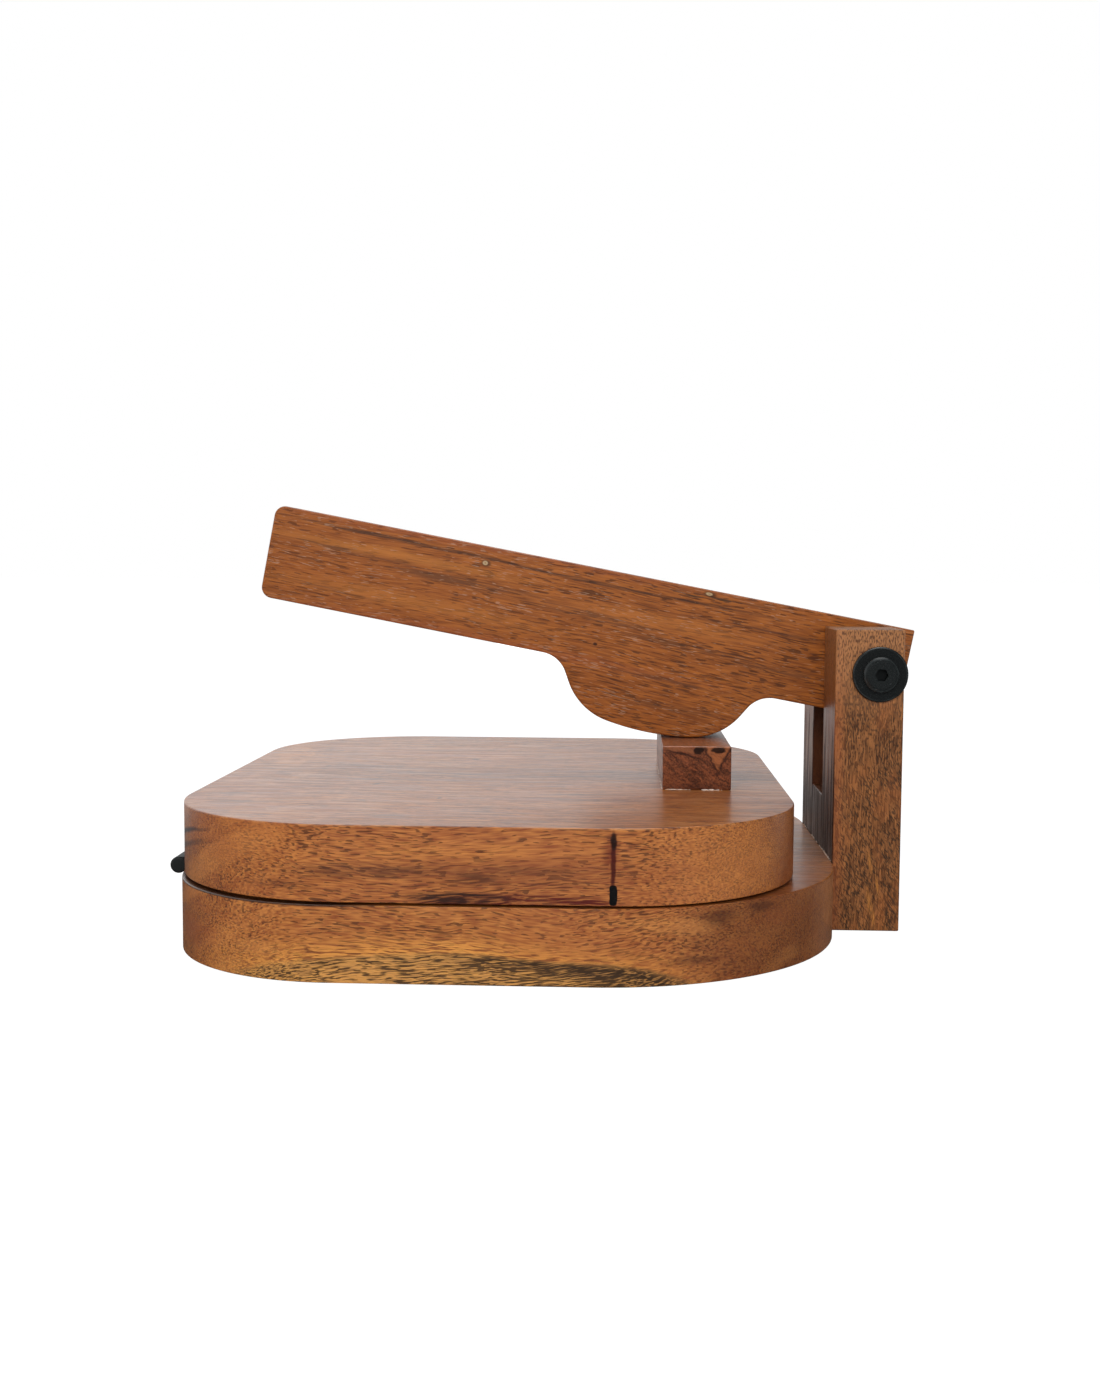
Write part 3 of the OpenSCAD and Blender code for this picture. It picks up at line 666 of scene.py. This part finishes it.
def dried_glue(context):
    f = Finish("dried_glue")
    cloud = f.noise(f.place, (700, 700, 700))
    base = f.mix(f.level(cloud, 0.35, 0.65), context.scene.press_metal_colours.glue,
                 (0.50, 0.34, 0.24))
    return f.done(base, 0.45, cloud, 0.00005, Specular_IOR_Level=0.5)


def finish_named(context, name):
    """The material of that name, made when it is first asked for."""
    makers = {
        "base_board_grain": base_wood,
        "top_plate_grain": plate_wood,
        "lever_grain": lever_wood,
        "post_grain": post_wood,
        "block_grain": block_wood,
        "black_satin": black_metal,
        "dowel_grain": dowel_wood,
        "dried_glue": dried_glue,
    }
    return bpy.data.materials.get(name) or makers[name](context)


def paint(context, mesh, finish):
    mesh.materials.clear()
    mesh.materials.append(finish_named(context, finish))


def made(context, name, shape):
    """An object of a bmesh, linked to the scene."""
    mesh = bpy.data.meshes.new(name)
    shape.to_mesh(mesh)
    shape.free()
    return linked(context, name, mesh)


def linked(context, name, data):
    thing = bpy.data.objects.new(name, data)
    context.scene.collection.objects.link(thing)
    return thing


def settle(context, shape, name, body, finish, replaces=(), cutter=None):
    """Turns a bmesh into a finished piece that rides on a body."""
    bmesh.ops.recalc_face_normals(shape, faces=shape.faces)
    piece = made(context, name, shape)
    if cutter is not None:
        carve(context, piece, cutter)
    paint(context, piece.data, finish)
    piece.data.shade_smooth()
    piece.data.set_sharp_from_angle(angle=SMOOTH)
    even = piece.modifiers.new("Even shading", "WEIGHTED_NORMAL")
    even.keep_sharp = True
    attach(piece, body)
    if replaces:
        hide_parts(*replaces)
    return piece


def carve(context, piece, cutter):
    """Cuts a closed bmesh out of a piece."""
    bmesh.ops.recalc_face_normals(cutter, faces=cutter.faces)
    tool = made(context, "cutter", cutter)
    mesh = tool.data
    cut = piece.modifiers.new("Cut", "BOOLEAN")
    cut.operation = "DIFFERENCE"
    cut.solver = "EXACT"
    cut.object = tool
    context.view_layer.update()
    graph = context.evaluated_depsgraph_get()
    result = bpy.data.meshes.new_from_object(piece.evaluated_get(graph))
    piece.modifiers.remove(cut)
    old = piece.data
    piece.data = result
    bpy.data.meshes.remove(old)
    result.name = piece.name
    bpy.data.objects.remove(tool)
    bpy.data.meshes.remove(mesh)


def join(*shapes):
    """One bmesh that holds several."""
    whole = bmesh.new()
    for shape in shapes:
        mesh = bpy.data.meshes.new("part")
        shape.to_mesh(mesh)
        shape.free()
        whole.from_mesh(mesh)
        bpy.data.meshes.remove(mesh)
    return whole


def bevel(shape, edges, width, segments=3):
    bmesh.ops.bevel(
        shape, geom=edges, offset=width, offset_type="OFFSET", segments=segments, profile=0.5,
        affect="EDGES", material=-1, clamp_overlap=True,
    )


def sharp(shape, test=None):
    return [
        e for e in shape.edges
        if e.is_manifold and e.calc_face_angle(0) > CREASE and (test is None or test(e))
    ]


def turned(points, steps=64, ring=False):
    """A solid of revolution about Z from (radius, height) points, which form a ring or else
    start and end on Z."""
    shape = bmesh.new()
    verts = [shape.verts.new((r, 0, z)) for r, z in points]
    ends = verts[1:] + verts[:1] if ring else verts[1:]
    edges = [shape.edges.new(pair) for pair in zip(verts, ends)]
    bmesh.ops.spin(
        shape, geom=verts + edges, cent=(0, 0, 0), axis=(0, 0, 1), angle=math.tau, steps=steps,
        use_merge=True,
    )
    bmesh.ops.remove_doubles(shape, verts=shape.verts, dist=MERGE)
    bmesh.ops.recalc_face_normals(shape, faces=shape.faces)
    return shape


def thickened(shape, way):
    """Makes a solid of a flat shape."""
    raised = bmesh.ops.extrude_face_region(shape, geom=shape.faces[:])["geom"]
    bmesh.ops.translate(shape, vec=way,
                        verts=[v for v in raised if isinstance(v, bmesh.types.BMVert)])
    bmesh.ops.recalc_face_normals(shape, faces=shape.faces)


def rod(radius, low, high, steps=48):
    return turned([(0, low), (radius, low), (radius, high), (0, high)], steps)


def placed(shape, origin, turn=None):
    matrix = Matrix.Translation(Vector(origin))
    if turn is not None:
        matrix = matrix @ turn.to_4x4()
    shape.transform(matrix)
    return shape


FRONTWARD = Matrix.Rotation(radians(90), 3, "X")
BACKWARD = Matrix.Rotation(radians(-90), 3, "X")
INWARD = Matrix.Rotation(radians(90), 3, "Y")


def rounded_board(long, wide, hinge_radius, free_radius, low, high, arris):
    """A board with two pairs of round corners, from the hinge end's X."""
    shape = bmesh.new()
    bmesh.ops.create_grid(shape, x_segments=1, y_segments=1, size=0.5)
    bmesh.ops.scale(shape, vec=(long, wide, 1), verts=shape.verts)
    middle = BASE_LOW.x + long / 2
    bmesh.ops.translate(shape, vec=(middle, 0, low), verts=shape.verts)
    for radius, free in ((hinge_radius, False), (free_radius, True)):
        corners = [v for v in shape.verts
                   if (v.co.x > middle) == free and abs(abs(v.co.y) - wide / 2) < SAME
                   and abs(abs(v.co.x - middle) - long / 2) < SAME]
        bmesh.ops.bevel(
            shape, geom=corners, offset=radius, offset_type="OFFSET", segments=40, profile=0.5,
            affect="VERTICES", material=-1,
        )
    thickened(shape, (0, 0, high - low))
    bevel(shape, sharp(shape, lambda e: e.verts[0].co.z == e.verts[1].co.z), arris)
    return shape


def screw_holes(upward):
    """Holes for the hinge screws of one board, taken from the screws' own places."""
    node = "plate_leaf_screws" if upward else "base_leaf_screws"
    before = Vector((0.002, 0, 0))
    return [placed(rod(SCREW_HOLE, 0, SCREW_REACH + before.x, 16), centre - before, INWARD)
            for centre in screw_places(node)]


def screw_places(node):
    """Middle of each screw's head, from the heads' outermost points."""
    mesh = frame["nodes"][node].data
    low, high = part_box(node)
    height, outmost, apart = (low.z + high.z) / 2, low.x + 1e-5, 0.003
    groups = []
    for y in sorted({round(v.co.y, 3) for v in mesh.vertices if v.co.x < outmost}):
        if groups and y - groups[-1][-1] < apart:
            groups[-1].append(y)
        else:
            groups.append([y])
    return [Vector((low.x, (g[0] + g[-1]) / 2, height)) for g in groups]


class PRESS_OT_base_board(bpy.types.Operator):
    """Builds the base board with its round corners, screw holes and dowel holes"""

    bl_idname = "press.base_board"
    bl_label = "Base board"

    def execute(self, context):
        s = context.scene.press_boards
        shape = rounded_board(s.base_length, s.width, s.base_hinge_radius, s.base_post_radius,
                              BASE_LOW.z, s.base_thickness, s.arris)
        holes = screw_holes(False) + dowel_holes()
        settle(context, shape, "base_board_wood", "base", "base_board_grain",
               ["base_board"], join(*holes))
        return {"FINISHED"}


class PRESS_OT_top_plate(bpy.types.Operator):
    """Builds the top plate with its round corners and screw holes"""

    bl_idname = "press.top_plate"
    bl_label = "Top plate"

    def execute(self, context):
        s = context.scene.press_boards
        shape = rounded_board(s.plate_length, s.width, s.plate_radius, s.plate_radius,
                              PLATE_LOW.z, PLATE_HIGH.z, s.arris)
        settle(context, shape, "top_plate_wood", "plate", "top_plate_grain",
               ["top_plate"], join(*screw_holes(True)))
        return {"FINISHED"}


def dowel_holes():
    """Holes a little wider and longer than the dowels in the base board and the post."""
    low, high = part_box("post_dowels")
    radius, wider, longer = (high.z - low.z) / 2, 0.0001, 0.001
    pitch = (high.y - low.y) / 2 - radius
    return [
        placed(rod(radius + wider, 0, high.x - low.x + 2 * longer, 32),
               (low.x - longer, y, (low.z + high.z) / 2), INWARD)
        for y in (-pitch, 0, pitch)
    ]


class PRESS_OT_post(bpy.types.Operator):
    """Builds the slotted post with its holes for the bolt, the nut's barrel and the dowels"""

    bl_idname = "press.post"
    bl_label = "Post"

    def execute(self, context):
        s = context.scene.press_post
        half, slot = POST_HIGH.y, s.slot_width / 2
        top, floor = POST_HIGH.z, s.slot_floor
        outline = [(-half, 0), (half, 0), (half, top), (slot, top), (slot, floor),
                   (-slot, floor), (-slot, top), (-half, top)]
        shape = bmesh.new()
        verts = [shape.verts.new((POST_LOW.x, y, z)) for y, z in outline]
        shape.faces.new(verts)
        thickened(shape, (POST_HIGH.x - POST_LOW.x, 0, 0))
        bevel(shape, sharp(shape, lambda e: not inner_corner(e, floor)), s.arris)
        end = half + OVERCUT
        through = placed(rod(s.bolt_hole, -end, end), PIVOT, FRONTWARD)
        barrel = placed(rod(s.barrel_hole, half - s.barrel_depth, end), PIVOT, BACKWARD)
        holes = join(through, *dowel_holes())
        piece = settle(context, shape, "post_wood", "base", "post_grain",
                       ["upright_post"], holes)
        carve(context, piece, barrel)
        piece.data.set_sharp_from_angle(angle=SMOOTH)
        return {"FINISHED"}


def inner_corner(edge, floor):
    """True for the two hollow edges at the slot's floor."""
    a, b = (v.co for v in edge.verts)
    return max(abs(a.z - floor), abs(b.z - floor), abs(a.y - b.y)) < SAME


class PRESS_OT_block(bpy.types.Operator):
    """Builds the pressure block and the dried glue at its foot and at the post's foot"""

    bl_idname = "press.block"
    bl_label = "Pressure block"

    def execute(self, context):
        low, high, arris, inset = BLOCK_LOW, BLOCK_HIGH, 0.0006, 0.001
        shape = bmesh.new()
        bmesh.ops.create_cube(shape, size=1.0)
        bmesh.ops.scale(shape, vec=high - low, verts=shape.verts)
        bmesh.ops.translate(shape, vec=(high + low) / 2, verts=shape.verts)
        bevel(shape, sharp(shape), arris)
        settle(context, shape, "pressure_block_wood", "plate", "block_grain",
               ["pressure_block"])
        near, far, z = low.y + inset, high.y - 2 * inset, low.z
        runs = [
            ((low.x + inset, low.y, z), (high.x - inset, low.y, z), 50, 0.85),
            ((low.x, near, z), (low.x, far, z), 110, 1.0),
            ((high.x, near, z), (high.x, far, z), 50, 0.5),
        ]
        settle(context, beads(runs, 1), "block_glue", "plate", "dried_glue")
        x, z = POST_LOW.x, BASE_HIGH.z
        runs = [((x, POST_LOW.y + inset, z), (x, POST_HIGH.y - inset, z), 90, 1.1)]
        settle(context, beads(runs, 5), "post_glue", "base", "dried_glue")
        return {"FINISHED"}


def chance(*seeds):
    """A fixed number from 0 to 1 for some seeds."""
    value = math.sin(sum(s * k for s, k in zip(seeds, (12.9898, 78.233, 37.719)))) * 43758.5453
    return value - math.floor(value)


def beads(runs, seed):
    """Small flattened drops along some lines, each given by its ends, the number of places on
    it and the size of its drops. Some places and some stretches of five stay bare."""
    drop, bare, bare_stretch = 0.00032, 0.25, 0.3
    shape = bmesh.new()
    for r, (start, end, count, scale) in enumerate(runs):
        start, end = Vector(start), Vector(end)
        step = (end - start).normalized()
        for i in range(count):
            if chance(i, seed, r) < bare or chance(i // 5, seed + 9, r) < bare_stretch:
                continue
            along = (i + chance(i, seed + 1, r)) / count
            size = drop * scale * (0.6 + 1.1 * chance(i, seed + 2, r) ** 2)
            tall = size * (0.7 + 0.5 * chance(i, seed + 3, r))
            long = size * (1.2 + 2.2 * chance(i, seed + 4, r))
            place = start.lerp(end, along) + Vector((0, 0, tall * 0.25))
            matrix = Matrix.Translation(place) @ step.to_track_quat("X", "Z").to_matrix().to_4x4()
            matrix = matrix @ Matrix.Diagonal((long, size, tall, 1))
            bmesh.ops.create_icosphere(shape, subdivisions=2, radius=1.0, matrix=matrix)
    return shape


class PRESS_OT_lever(bpy.types.Operator):
    """Builds the lever from its side outline, drawn with arcs about their centres"""

    bl_idname = "press.lever"
    bl_label = "Lever"

    def execute(self, context):
        s = context.scene.press_lever
        half = (LEVER_HIGH.y - LEVER_LOW.y) / 2
        shape = bmesh.new()
        self.outline(shape, s, -half)
        thickened(shape, (0, 2 * half, 0))
        bevel(shape, sharp(shape), s.arris)
        placed(shape, PIVOT, Matrix.Rotation(s.tilt, 3, "Y"))
        bore = placed(rod(s.bore, -half - OVERCUT, half + OVERCUT), PIVOT, FRONTWARD)
        settle(context, shape, "lever_wood", "lever", "lever_grain", ["lever"], bore)
        return {"FINISHED"}

    def outline(self, shape, s, y):
        """Draws the flat outline, from the tail round under the belly to the grip."""
        top, low, mid = s.bar_height / 2, -s.bar_height / 2, -s.belly_distance
        gap = s.belly_radius - s.corner_radius
        join_angle = math.asin(s.corner_spacing / 2 / gap)
        arc_z = low - s.belly_drop + s.belly_radius
        corner_z = arc_z - gap * math.cos(join_angle)
        fillet_z = low - s.fillet_radius
        reach = s.corner_radius + s.fillet_radius + (fillet_z - corner_z) * math.cos(s.flank)
        fillet_x = s.corner_spacing / 2 + reach / math.sin(s.flank)
        corner_x = s.corner_spacing / 2
        self.pen = shape.verts.new((s.tail, y, top))
        first = self.pen

        def line(x, z):
            end = bmesh.ops.extrude_vert_indiv(shape, verts=[self.pen])["verts"][0]
            end.co = (x, y, z)
            self.pen = end

        def arc(x, z, angle, steps):
            turn = bmesh.ops.spin(shape, geom=[self.pen], cent=(x, y, z), axis=(0, 1, 0),
                                  angle=angle, steps=steps)
            self.pen = next(g for g in turn["geom_last"] if isinstance(g, bmesh.types.BMVert))

        flank = s.flank
        down = math.pi / 2 - flank
        bend = math.pi / 2 - down - join_angle
        fillet_steps, corner_steps, belly_steps, grip_steps = 10, 16, 14, 8
        line(s.tail, low)
        line(mid + fillet_x, low)
        arc(mid + fillet_x, fillet_z, -flank, fillet_steps)
        line(mid + corner_x + s.corner_radius * math.cos(down),
             corner_z - s.corner_radius * math.sin(down))
        arc(mid + corner_x, corner_z, bend, corner_steps)
        arc(mid, arc_z, 2 * join_angle, belly_steps)
        arc(mid - corner_x, corner_z, bend, corner_steps)
        line(mid - fillet_x + s.fillet_radius * math.sin(flank),
             fillet_z + s.fillet_radius * math.cos(flank))
        arc(mid - fillet_x, fillet_z, -flank, fillet_steps)
        line(s.grip_radius - s.reach, low)
        arc(s.grip_radius - s.reach, low + s.grip_radius, math.pi / 2, grip_steps)
        line(-s.reach, top - s.grip_radius)
        arc(s.grip_radius - s.reach, top - s.grip_radius, math.pi / 2, grip_steps)
        shape.edges.new((self.pen, first))
        bmesh.ops.remove_doubles(shape, verts=shape.verts, dist=MERGE)
        bmesh.ops.contextual_create(shape, geom=shape.edges[:])


def head_points(s, base):
    """Profile of the bolt's or the nut's head, with an eased rim and chamfer."""
    r, h, c, e = s.head_radius, s.head_height, s.head_chamfer, 0.00025
    return [
        (r - e, base), (r, base + e), (r, base + h - c / 2 - e), (r - e * 0.6, base + h - c / 2),
        (r - c + e, base + h - e * 0.3), (r - c - e, base + h), (0, base + h),
    ]


def hexagon(s, height):
    """The cutter of a hexagon socket, which stands a little out of the head's face."""
    radius, out, turn = s.socket_flats / 2 / math.cos(radians(30)), 0.001, radians(26)
    shape = bmesh.new()
    bmesh.ops.create_cone(shape, cap_ends=True, segments=6, radius1=radius, radius2=radius,
                          depth=s.socket_depth + out)
    middle = height - s.socket_depth / 2 + out / 2
    bmesh.ops.translate(shape, vec=(0, 0, middle), verts=shape.verts)
    bmesh.ops.rotate(shape, cent=(0, 0, 0), matrix=Matrix.Rotation(turn, 3, "Z"),
                     verts=shape.verts)
    return shape


class PRESS_OT_bolt(bpy.types.Operator):
    """Builds the pivot bolt, its washers and the cap nut"""

    bl_idname = "press.bolt"
    bl_label = "Bolt, washers and nut"

    def execute(self, context):
        s = context.scene.press_metal
        seat = POST_HIGH.y + s.washer_height
        tip, ease = -BOLT_HIGH.y, 0.0006
        start, floor = seat - s.barrel_length, seat - s.head_height
        bolt = [(0, tip), (s.shank_radius - ease, tip), (s.shank_radius, tip + ease),
                (s.shank_radius, seat)]
        nut = [(0, floor), (s.barrel_bore, floor), (s.barrel_bore, start),
               (s.barrel_radius, start), (s.barrel_radius, seat)]
        middle = (PIVOT.x, 0, PIVOT.z)
        for name, node, points, turn in (("bolt", "pivot_bolt", bolt, FRONTWARD),
                                         ("cap_nut", "pivot_cap_nut", nut, BACKWARD)):
            shape = placed(turned(points + head_points(s, seat), FINE), middle, turn)
            socket = placed(hexagon(s, seat + s.head_height), middle, turn)
            settle(context, shape, name, "base", "black_satin", [node], socket)
        holes = context.scene.press_post
        rings = [placed(self.ring(s, hole, POST_HIGH.y), middle, turn)
                 for turn, hole in ((FRONTWARD, holes.bolt_hole), (BACKWARD, holes.barrel_hole))]
        settle(context, join(*rings), "washers", "base", "black_satin",
               ["pivot_washers"])
        return {"FINISHED"}

    def ring(self, s, hole, base):
        """A washer whose outer rim is rounded on the side away from the post."""
        outer, top, rim, ease, steps = s.washer_radius, base + s.washer_height, 0.0011, 0.0003, 7
        loop = [(hole, base), (outer - ease, base), (outer, base + ease), (outer, top - rim)]
        for i in range(1, steps + 1):
            a = radians(90 * i / steps)
            loop.append((outer - rim + rim * math.cos(a), top - rim + rim * math.sin(a)))
        return turned(loop + [(hole + ease, top), (hole, top - ease)], FINE, ring=True)


class PRESS_OT_hinges(bpy.types.Operator):
    """Builds both hinges' leaves and pins and finishes the screws"""

    bl_idname = "press.hinges"
    bl_label = "Hinges"

    def execute(self, context):
        s = context.scene.press_metal
        for side in ("front", "rear"):
            for body in ("base", "plate"):
                node = f"{side}_hinge_{body}_leaf"
                settle(context, self.eased(node, s.leaf_edge), f"{side}_{body}_leaf", body,
                       "black_satin", [node])
            node = f"{side}_hinge_pin"
            low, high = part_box(node)
            half = (high.y - low.y) / 2
            neck, rim, ease = half - s.pin_head_height, s.pin_head_radius, 0.0003
            upper = [(s.pin_radius, neck), (rim - ease / 2, neck), (rim, neck + ease / 2),
                     (rim, half - ease), (rim - ease, half - ease * 0.25),
                     (rim - 3 * ease, half), (0, half)]
            lower = [(x, -z) for x, z in reversed(upper)]
            pin = placed(turned(lower + upper), (HINGE.x, (low.y + high.y) / 2, HINGE.z), FRONTWARD)
            settle(context, pin, f"{side}_pin", "base", "black_satin", [node])
        for node, finish in (("base_leaf_screws", "black_satin"),
                             ("plate_leaf_screws", "black_satin"), ("post_dowels", "dowel_grain")):
            paint(context, frame["nodes"][node].data, finish)
        return {"FINISHED"}

    def eased(self, node, width):
        """A merged copy of a leaf's solid, with its long straight edges rounded."""
        weld, flat, long = 2e-6, radians(0.5), 0.006
        shape = bmesh.new()
        shape.from_mesh(frame["nodes"][node].data)
        bmesh.ops.remove_doubles(shape, verts=shape.verts, dist=weld)
        bmesh.ops.dissolve_limit(shape, angle_limit=flat, verts=shape.verts[:],
                                 edges=shape.edges[:])
        bevel(shape, sharp(shape, lambda e: e.calc_length() > long), width, 2)
        return shape


class PRESS_OT_stage(bpy.types.Operator):
    """Sets the camera, the floor, the lamps and the background"""

    bl_idname = "press.stage"
    bl_label = "Stage"

    def execute(self, context):
        s = context.scene.press_stage
        context.scene.view_settings.view_transform = "Standard"
        self.camera(context, s)
        self.floor(context, s)
        self.background(context)
        for name, place, size, power, mirrored in (
            ("Key lamp", (-0.3, -2.2, 0.9), 1.4, 35, False),
            ("Fill lamp", (1.2, -1.8, 0.7), 1.4, 9, False),
            ("Back lamp", (-0.6, 2.3, 0.6), 1.4, 30, False),
            ("Top lamp", (0.1, 0.1, 2.1), 0.6, 4.5, True),
        ):
            self.lamp(context, name, place, size, power * s.lamp_power, mirrored)
        return {"FINISHED"}

    def camera(self, context, s):
        data = bpy.data.cameras.new("Camera")
        data.lens = s.focal_length
        data.sensor_width = 36.0
        data.clip_start, data.clip_end = 0.01, 100.0
        camera = linked(context, "Camera", data)
        pitch, roll, yaw = s.camera_turn
        aim = Vector((-math.sin(yaw) * math.cos(pitch), math.cos(yaw) * math.cos(pitch),
                      -math.sin(pitch)))
        camera.rotation_mode = "QUATERNION"
        camera.rotation_quaternion = aim.to_track_quat("-Z", "Y") @ Quaternion((0, 0, 1), roll)
        camera.location = s.camera_place
        context.scene.camera = camera

    def floor(self, context, s):
        """A floor that is white to the camera, keeps its shadows, and is dark in reflections
        but for the part behind and beside the press."""
        reach, drop = 20.0, 0.0004
        shape = bmesh.new()
        bmesh.ops.create_grid(shape, x_segments=1, y_segments=1, size=reach)
        bmesh.ops.translate(shape, vec=(0, 0, -drop), verts=shape.verts)
        floor = made(context, "floor", shape)
        f = Finish("floor_white")
        path = f.add("LightPath").outputs
        mirrored = path["Is Glossy Ray"]
        beside = f.level(f.sum("ABSOLUTE", f.axis(0)), 0.2, 0.6, 0.32, 1.0)
        behind = f.times(mirrored, f.times(beside, f.level(f.axis(1), 0.0, 0.5)))
        shade = f.mix(mirrored, s.floor, [c * 0.1 for c in s.floor])
        matte = f.add("BsdfDiffuse", {"Color": shade})
        glow = f.add("Emission", {"Color": (1, 1, 1, 1), "Strength": 1.26})
        seen = f.plus(f.times(path["Is Camera Ray"], 0.78), behind)
        shader = f.add("MixShader", {0: seen, 1: matte.outputs[0], 2: glow.outputs[0]})
        f.add("OutputMaterial", {"Surface": shader.outputs[0]})
        floor.data.materials.append(f.owner)

    def background(self, context):
        """White for the camera, and in reflections light from behind and overhead."""
        f = Finish("Studio", "worlds", "Generated")
        context.scene.world = f.owner
        behind = f.add("VectorMath", {0: f.place, 1: (-1.4, 1.0, 0.0)}, operation="DOT_PRODUCT")
        behind = f.level(behind.outputs["Value"], 0.0, 1.2, 0.03, 1.00, "LINEAR")
        above = f.level(f.axis(2), 0.80, 0.95, 0.0, 2.8, "LINEAR")
        reflected, even, white = (
            f.add("Background", {"Color": (1, 1, 1, 1), "Strength": strength}).outputs[0]
            for strength in (f.plus(above, behind), 0.16, 1.0)
        )
        path = f.add("LightPath").outputs
        rays = f.add("MixShader", {0: path["Is Glossy Ray"], 1: even, 2: reflected})
        rays = f.add("MixShader", {0: path["Is Camera Ray"], 1: rays.outputs[0], 2: white})
        f.add("OutputWorld", {"Surface": rays.outputs[0]})

    def lamp(self, context, name, place, size, power, mirrored):
        data = bpy.data.lights.new(name, "AREA")
        data.shape = "SQUARE"
        data.size = size
        data.energy = power
        lamp = linked(context, name, data)
        lamp.location = place
        lamp.visible_glossy = mirrored
        target = Vector((0, 0, 0.05))
        aim = target - Vector(place)
        lamp.rotation_mode = "QUATERNION"
        lamp.rotation_quaternion = aim.to_track_quat("-Z", "Y")


class PRESS_PT_panel(bpy.types.Panel):
    bl_idname = "PRESS_PT_panel"
    bl_label = "Tortilla press"
    bl_space_type = "VIEW_3D"
    bl_region_type = "UI"
    bl_category = "Tortilla press"

    def draw(self, context):
        for operator in OPERATORS:
            self.layout.operator(operator.bl_idname)
        for name, group in GROUPS:
            box = self.layout.box()
            box.label(text=group.__name__)
            for key in group.__annotations__:
                box.prop(getattr(context.scene, name), key)


OPERATORS = (
    PRESS_OT_stage,
    PRESS_OT_base_board,
    PRESS_OT_top_plate,
    PRESS_OT_post,
    PRESS_OT_block,
    PRESS_OT_lever,
    PRESS_OT_bolt,
    PRESS_OT_hinges,
)


def register():
    for name, group in GROUPS:
        bpy.utils.register_class(group)
        setattr(bpy.types.Scene, name, bpy.props.PointerProperty(type=group))
    for item in (*OPERATORS, PRESS_PT_panel):
        bpy.utils.register_class(item)


def unregister():
    for item in (PRESS_PT_panel, *reversed(OPERATORS)):
        bpy.utils.unregister_class(item)
    for name, group in reversed(GROUPS):
        delattr(bpy.types.Scene, name)
        bpy.utils.unregister_class(group)


def main():
    register()
    for operator in OPERATORS:
        group, name = operator.bl_idname.split(".")
        getattr(getattr(bpy.ops, group), name)()


if __name__ == "__main__":
    main()
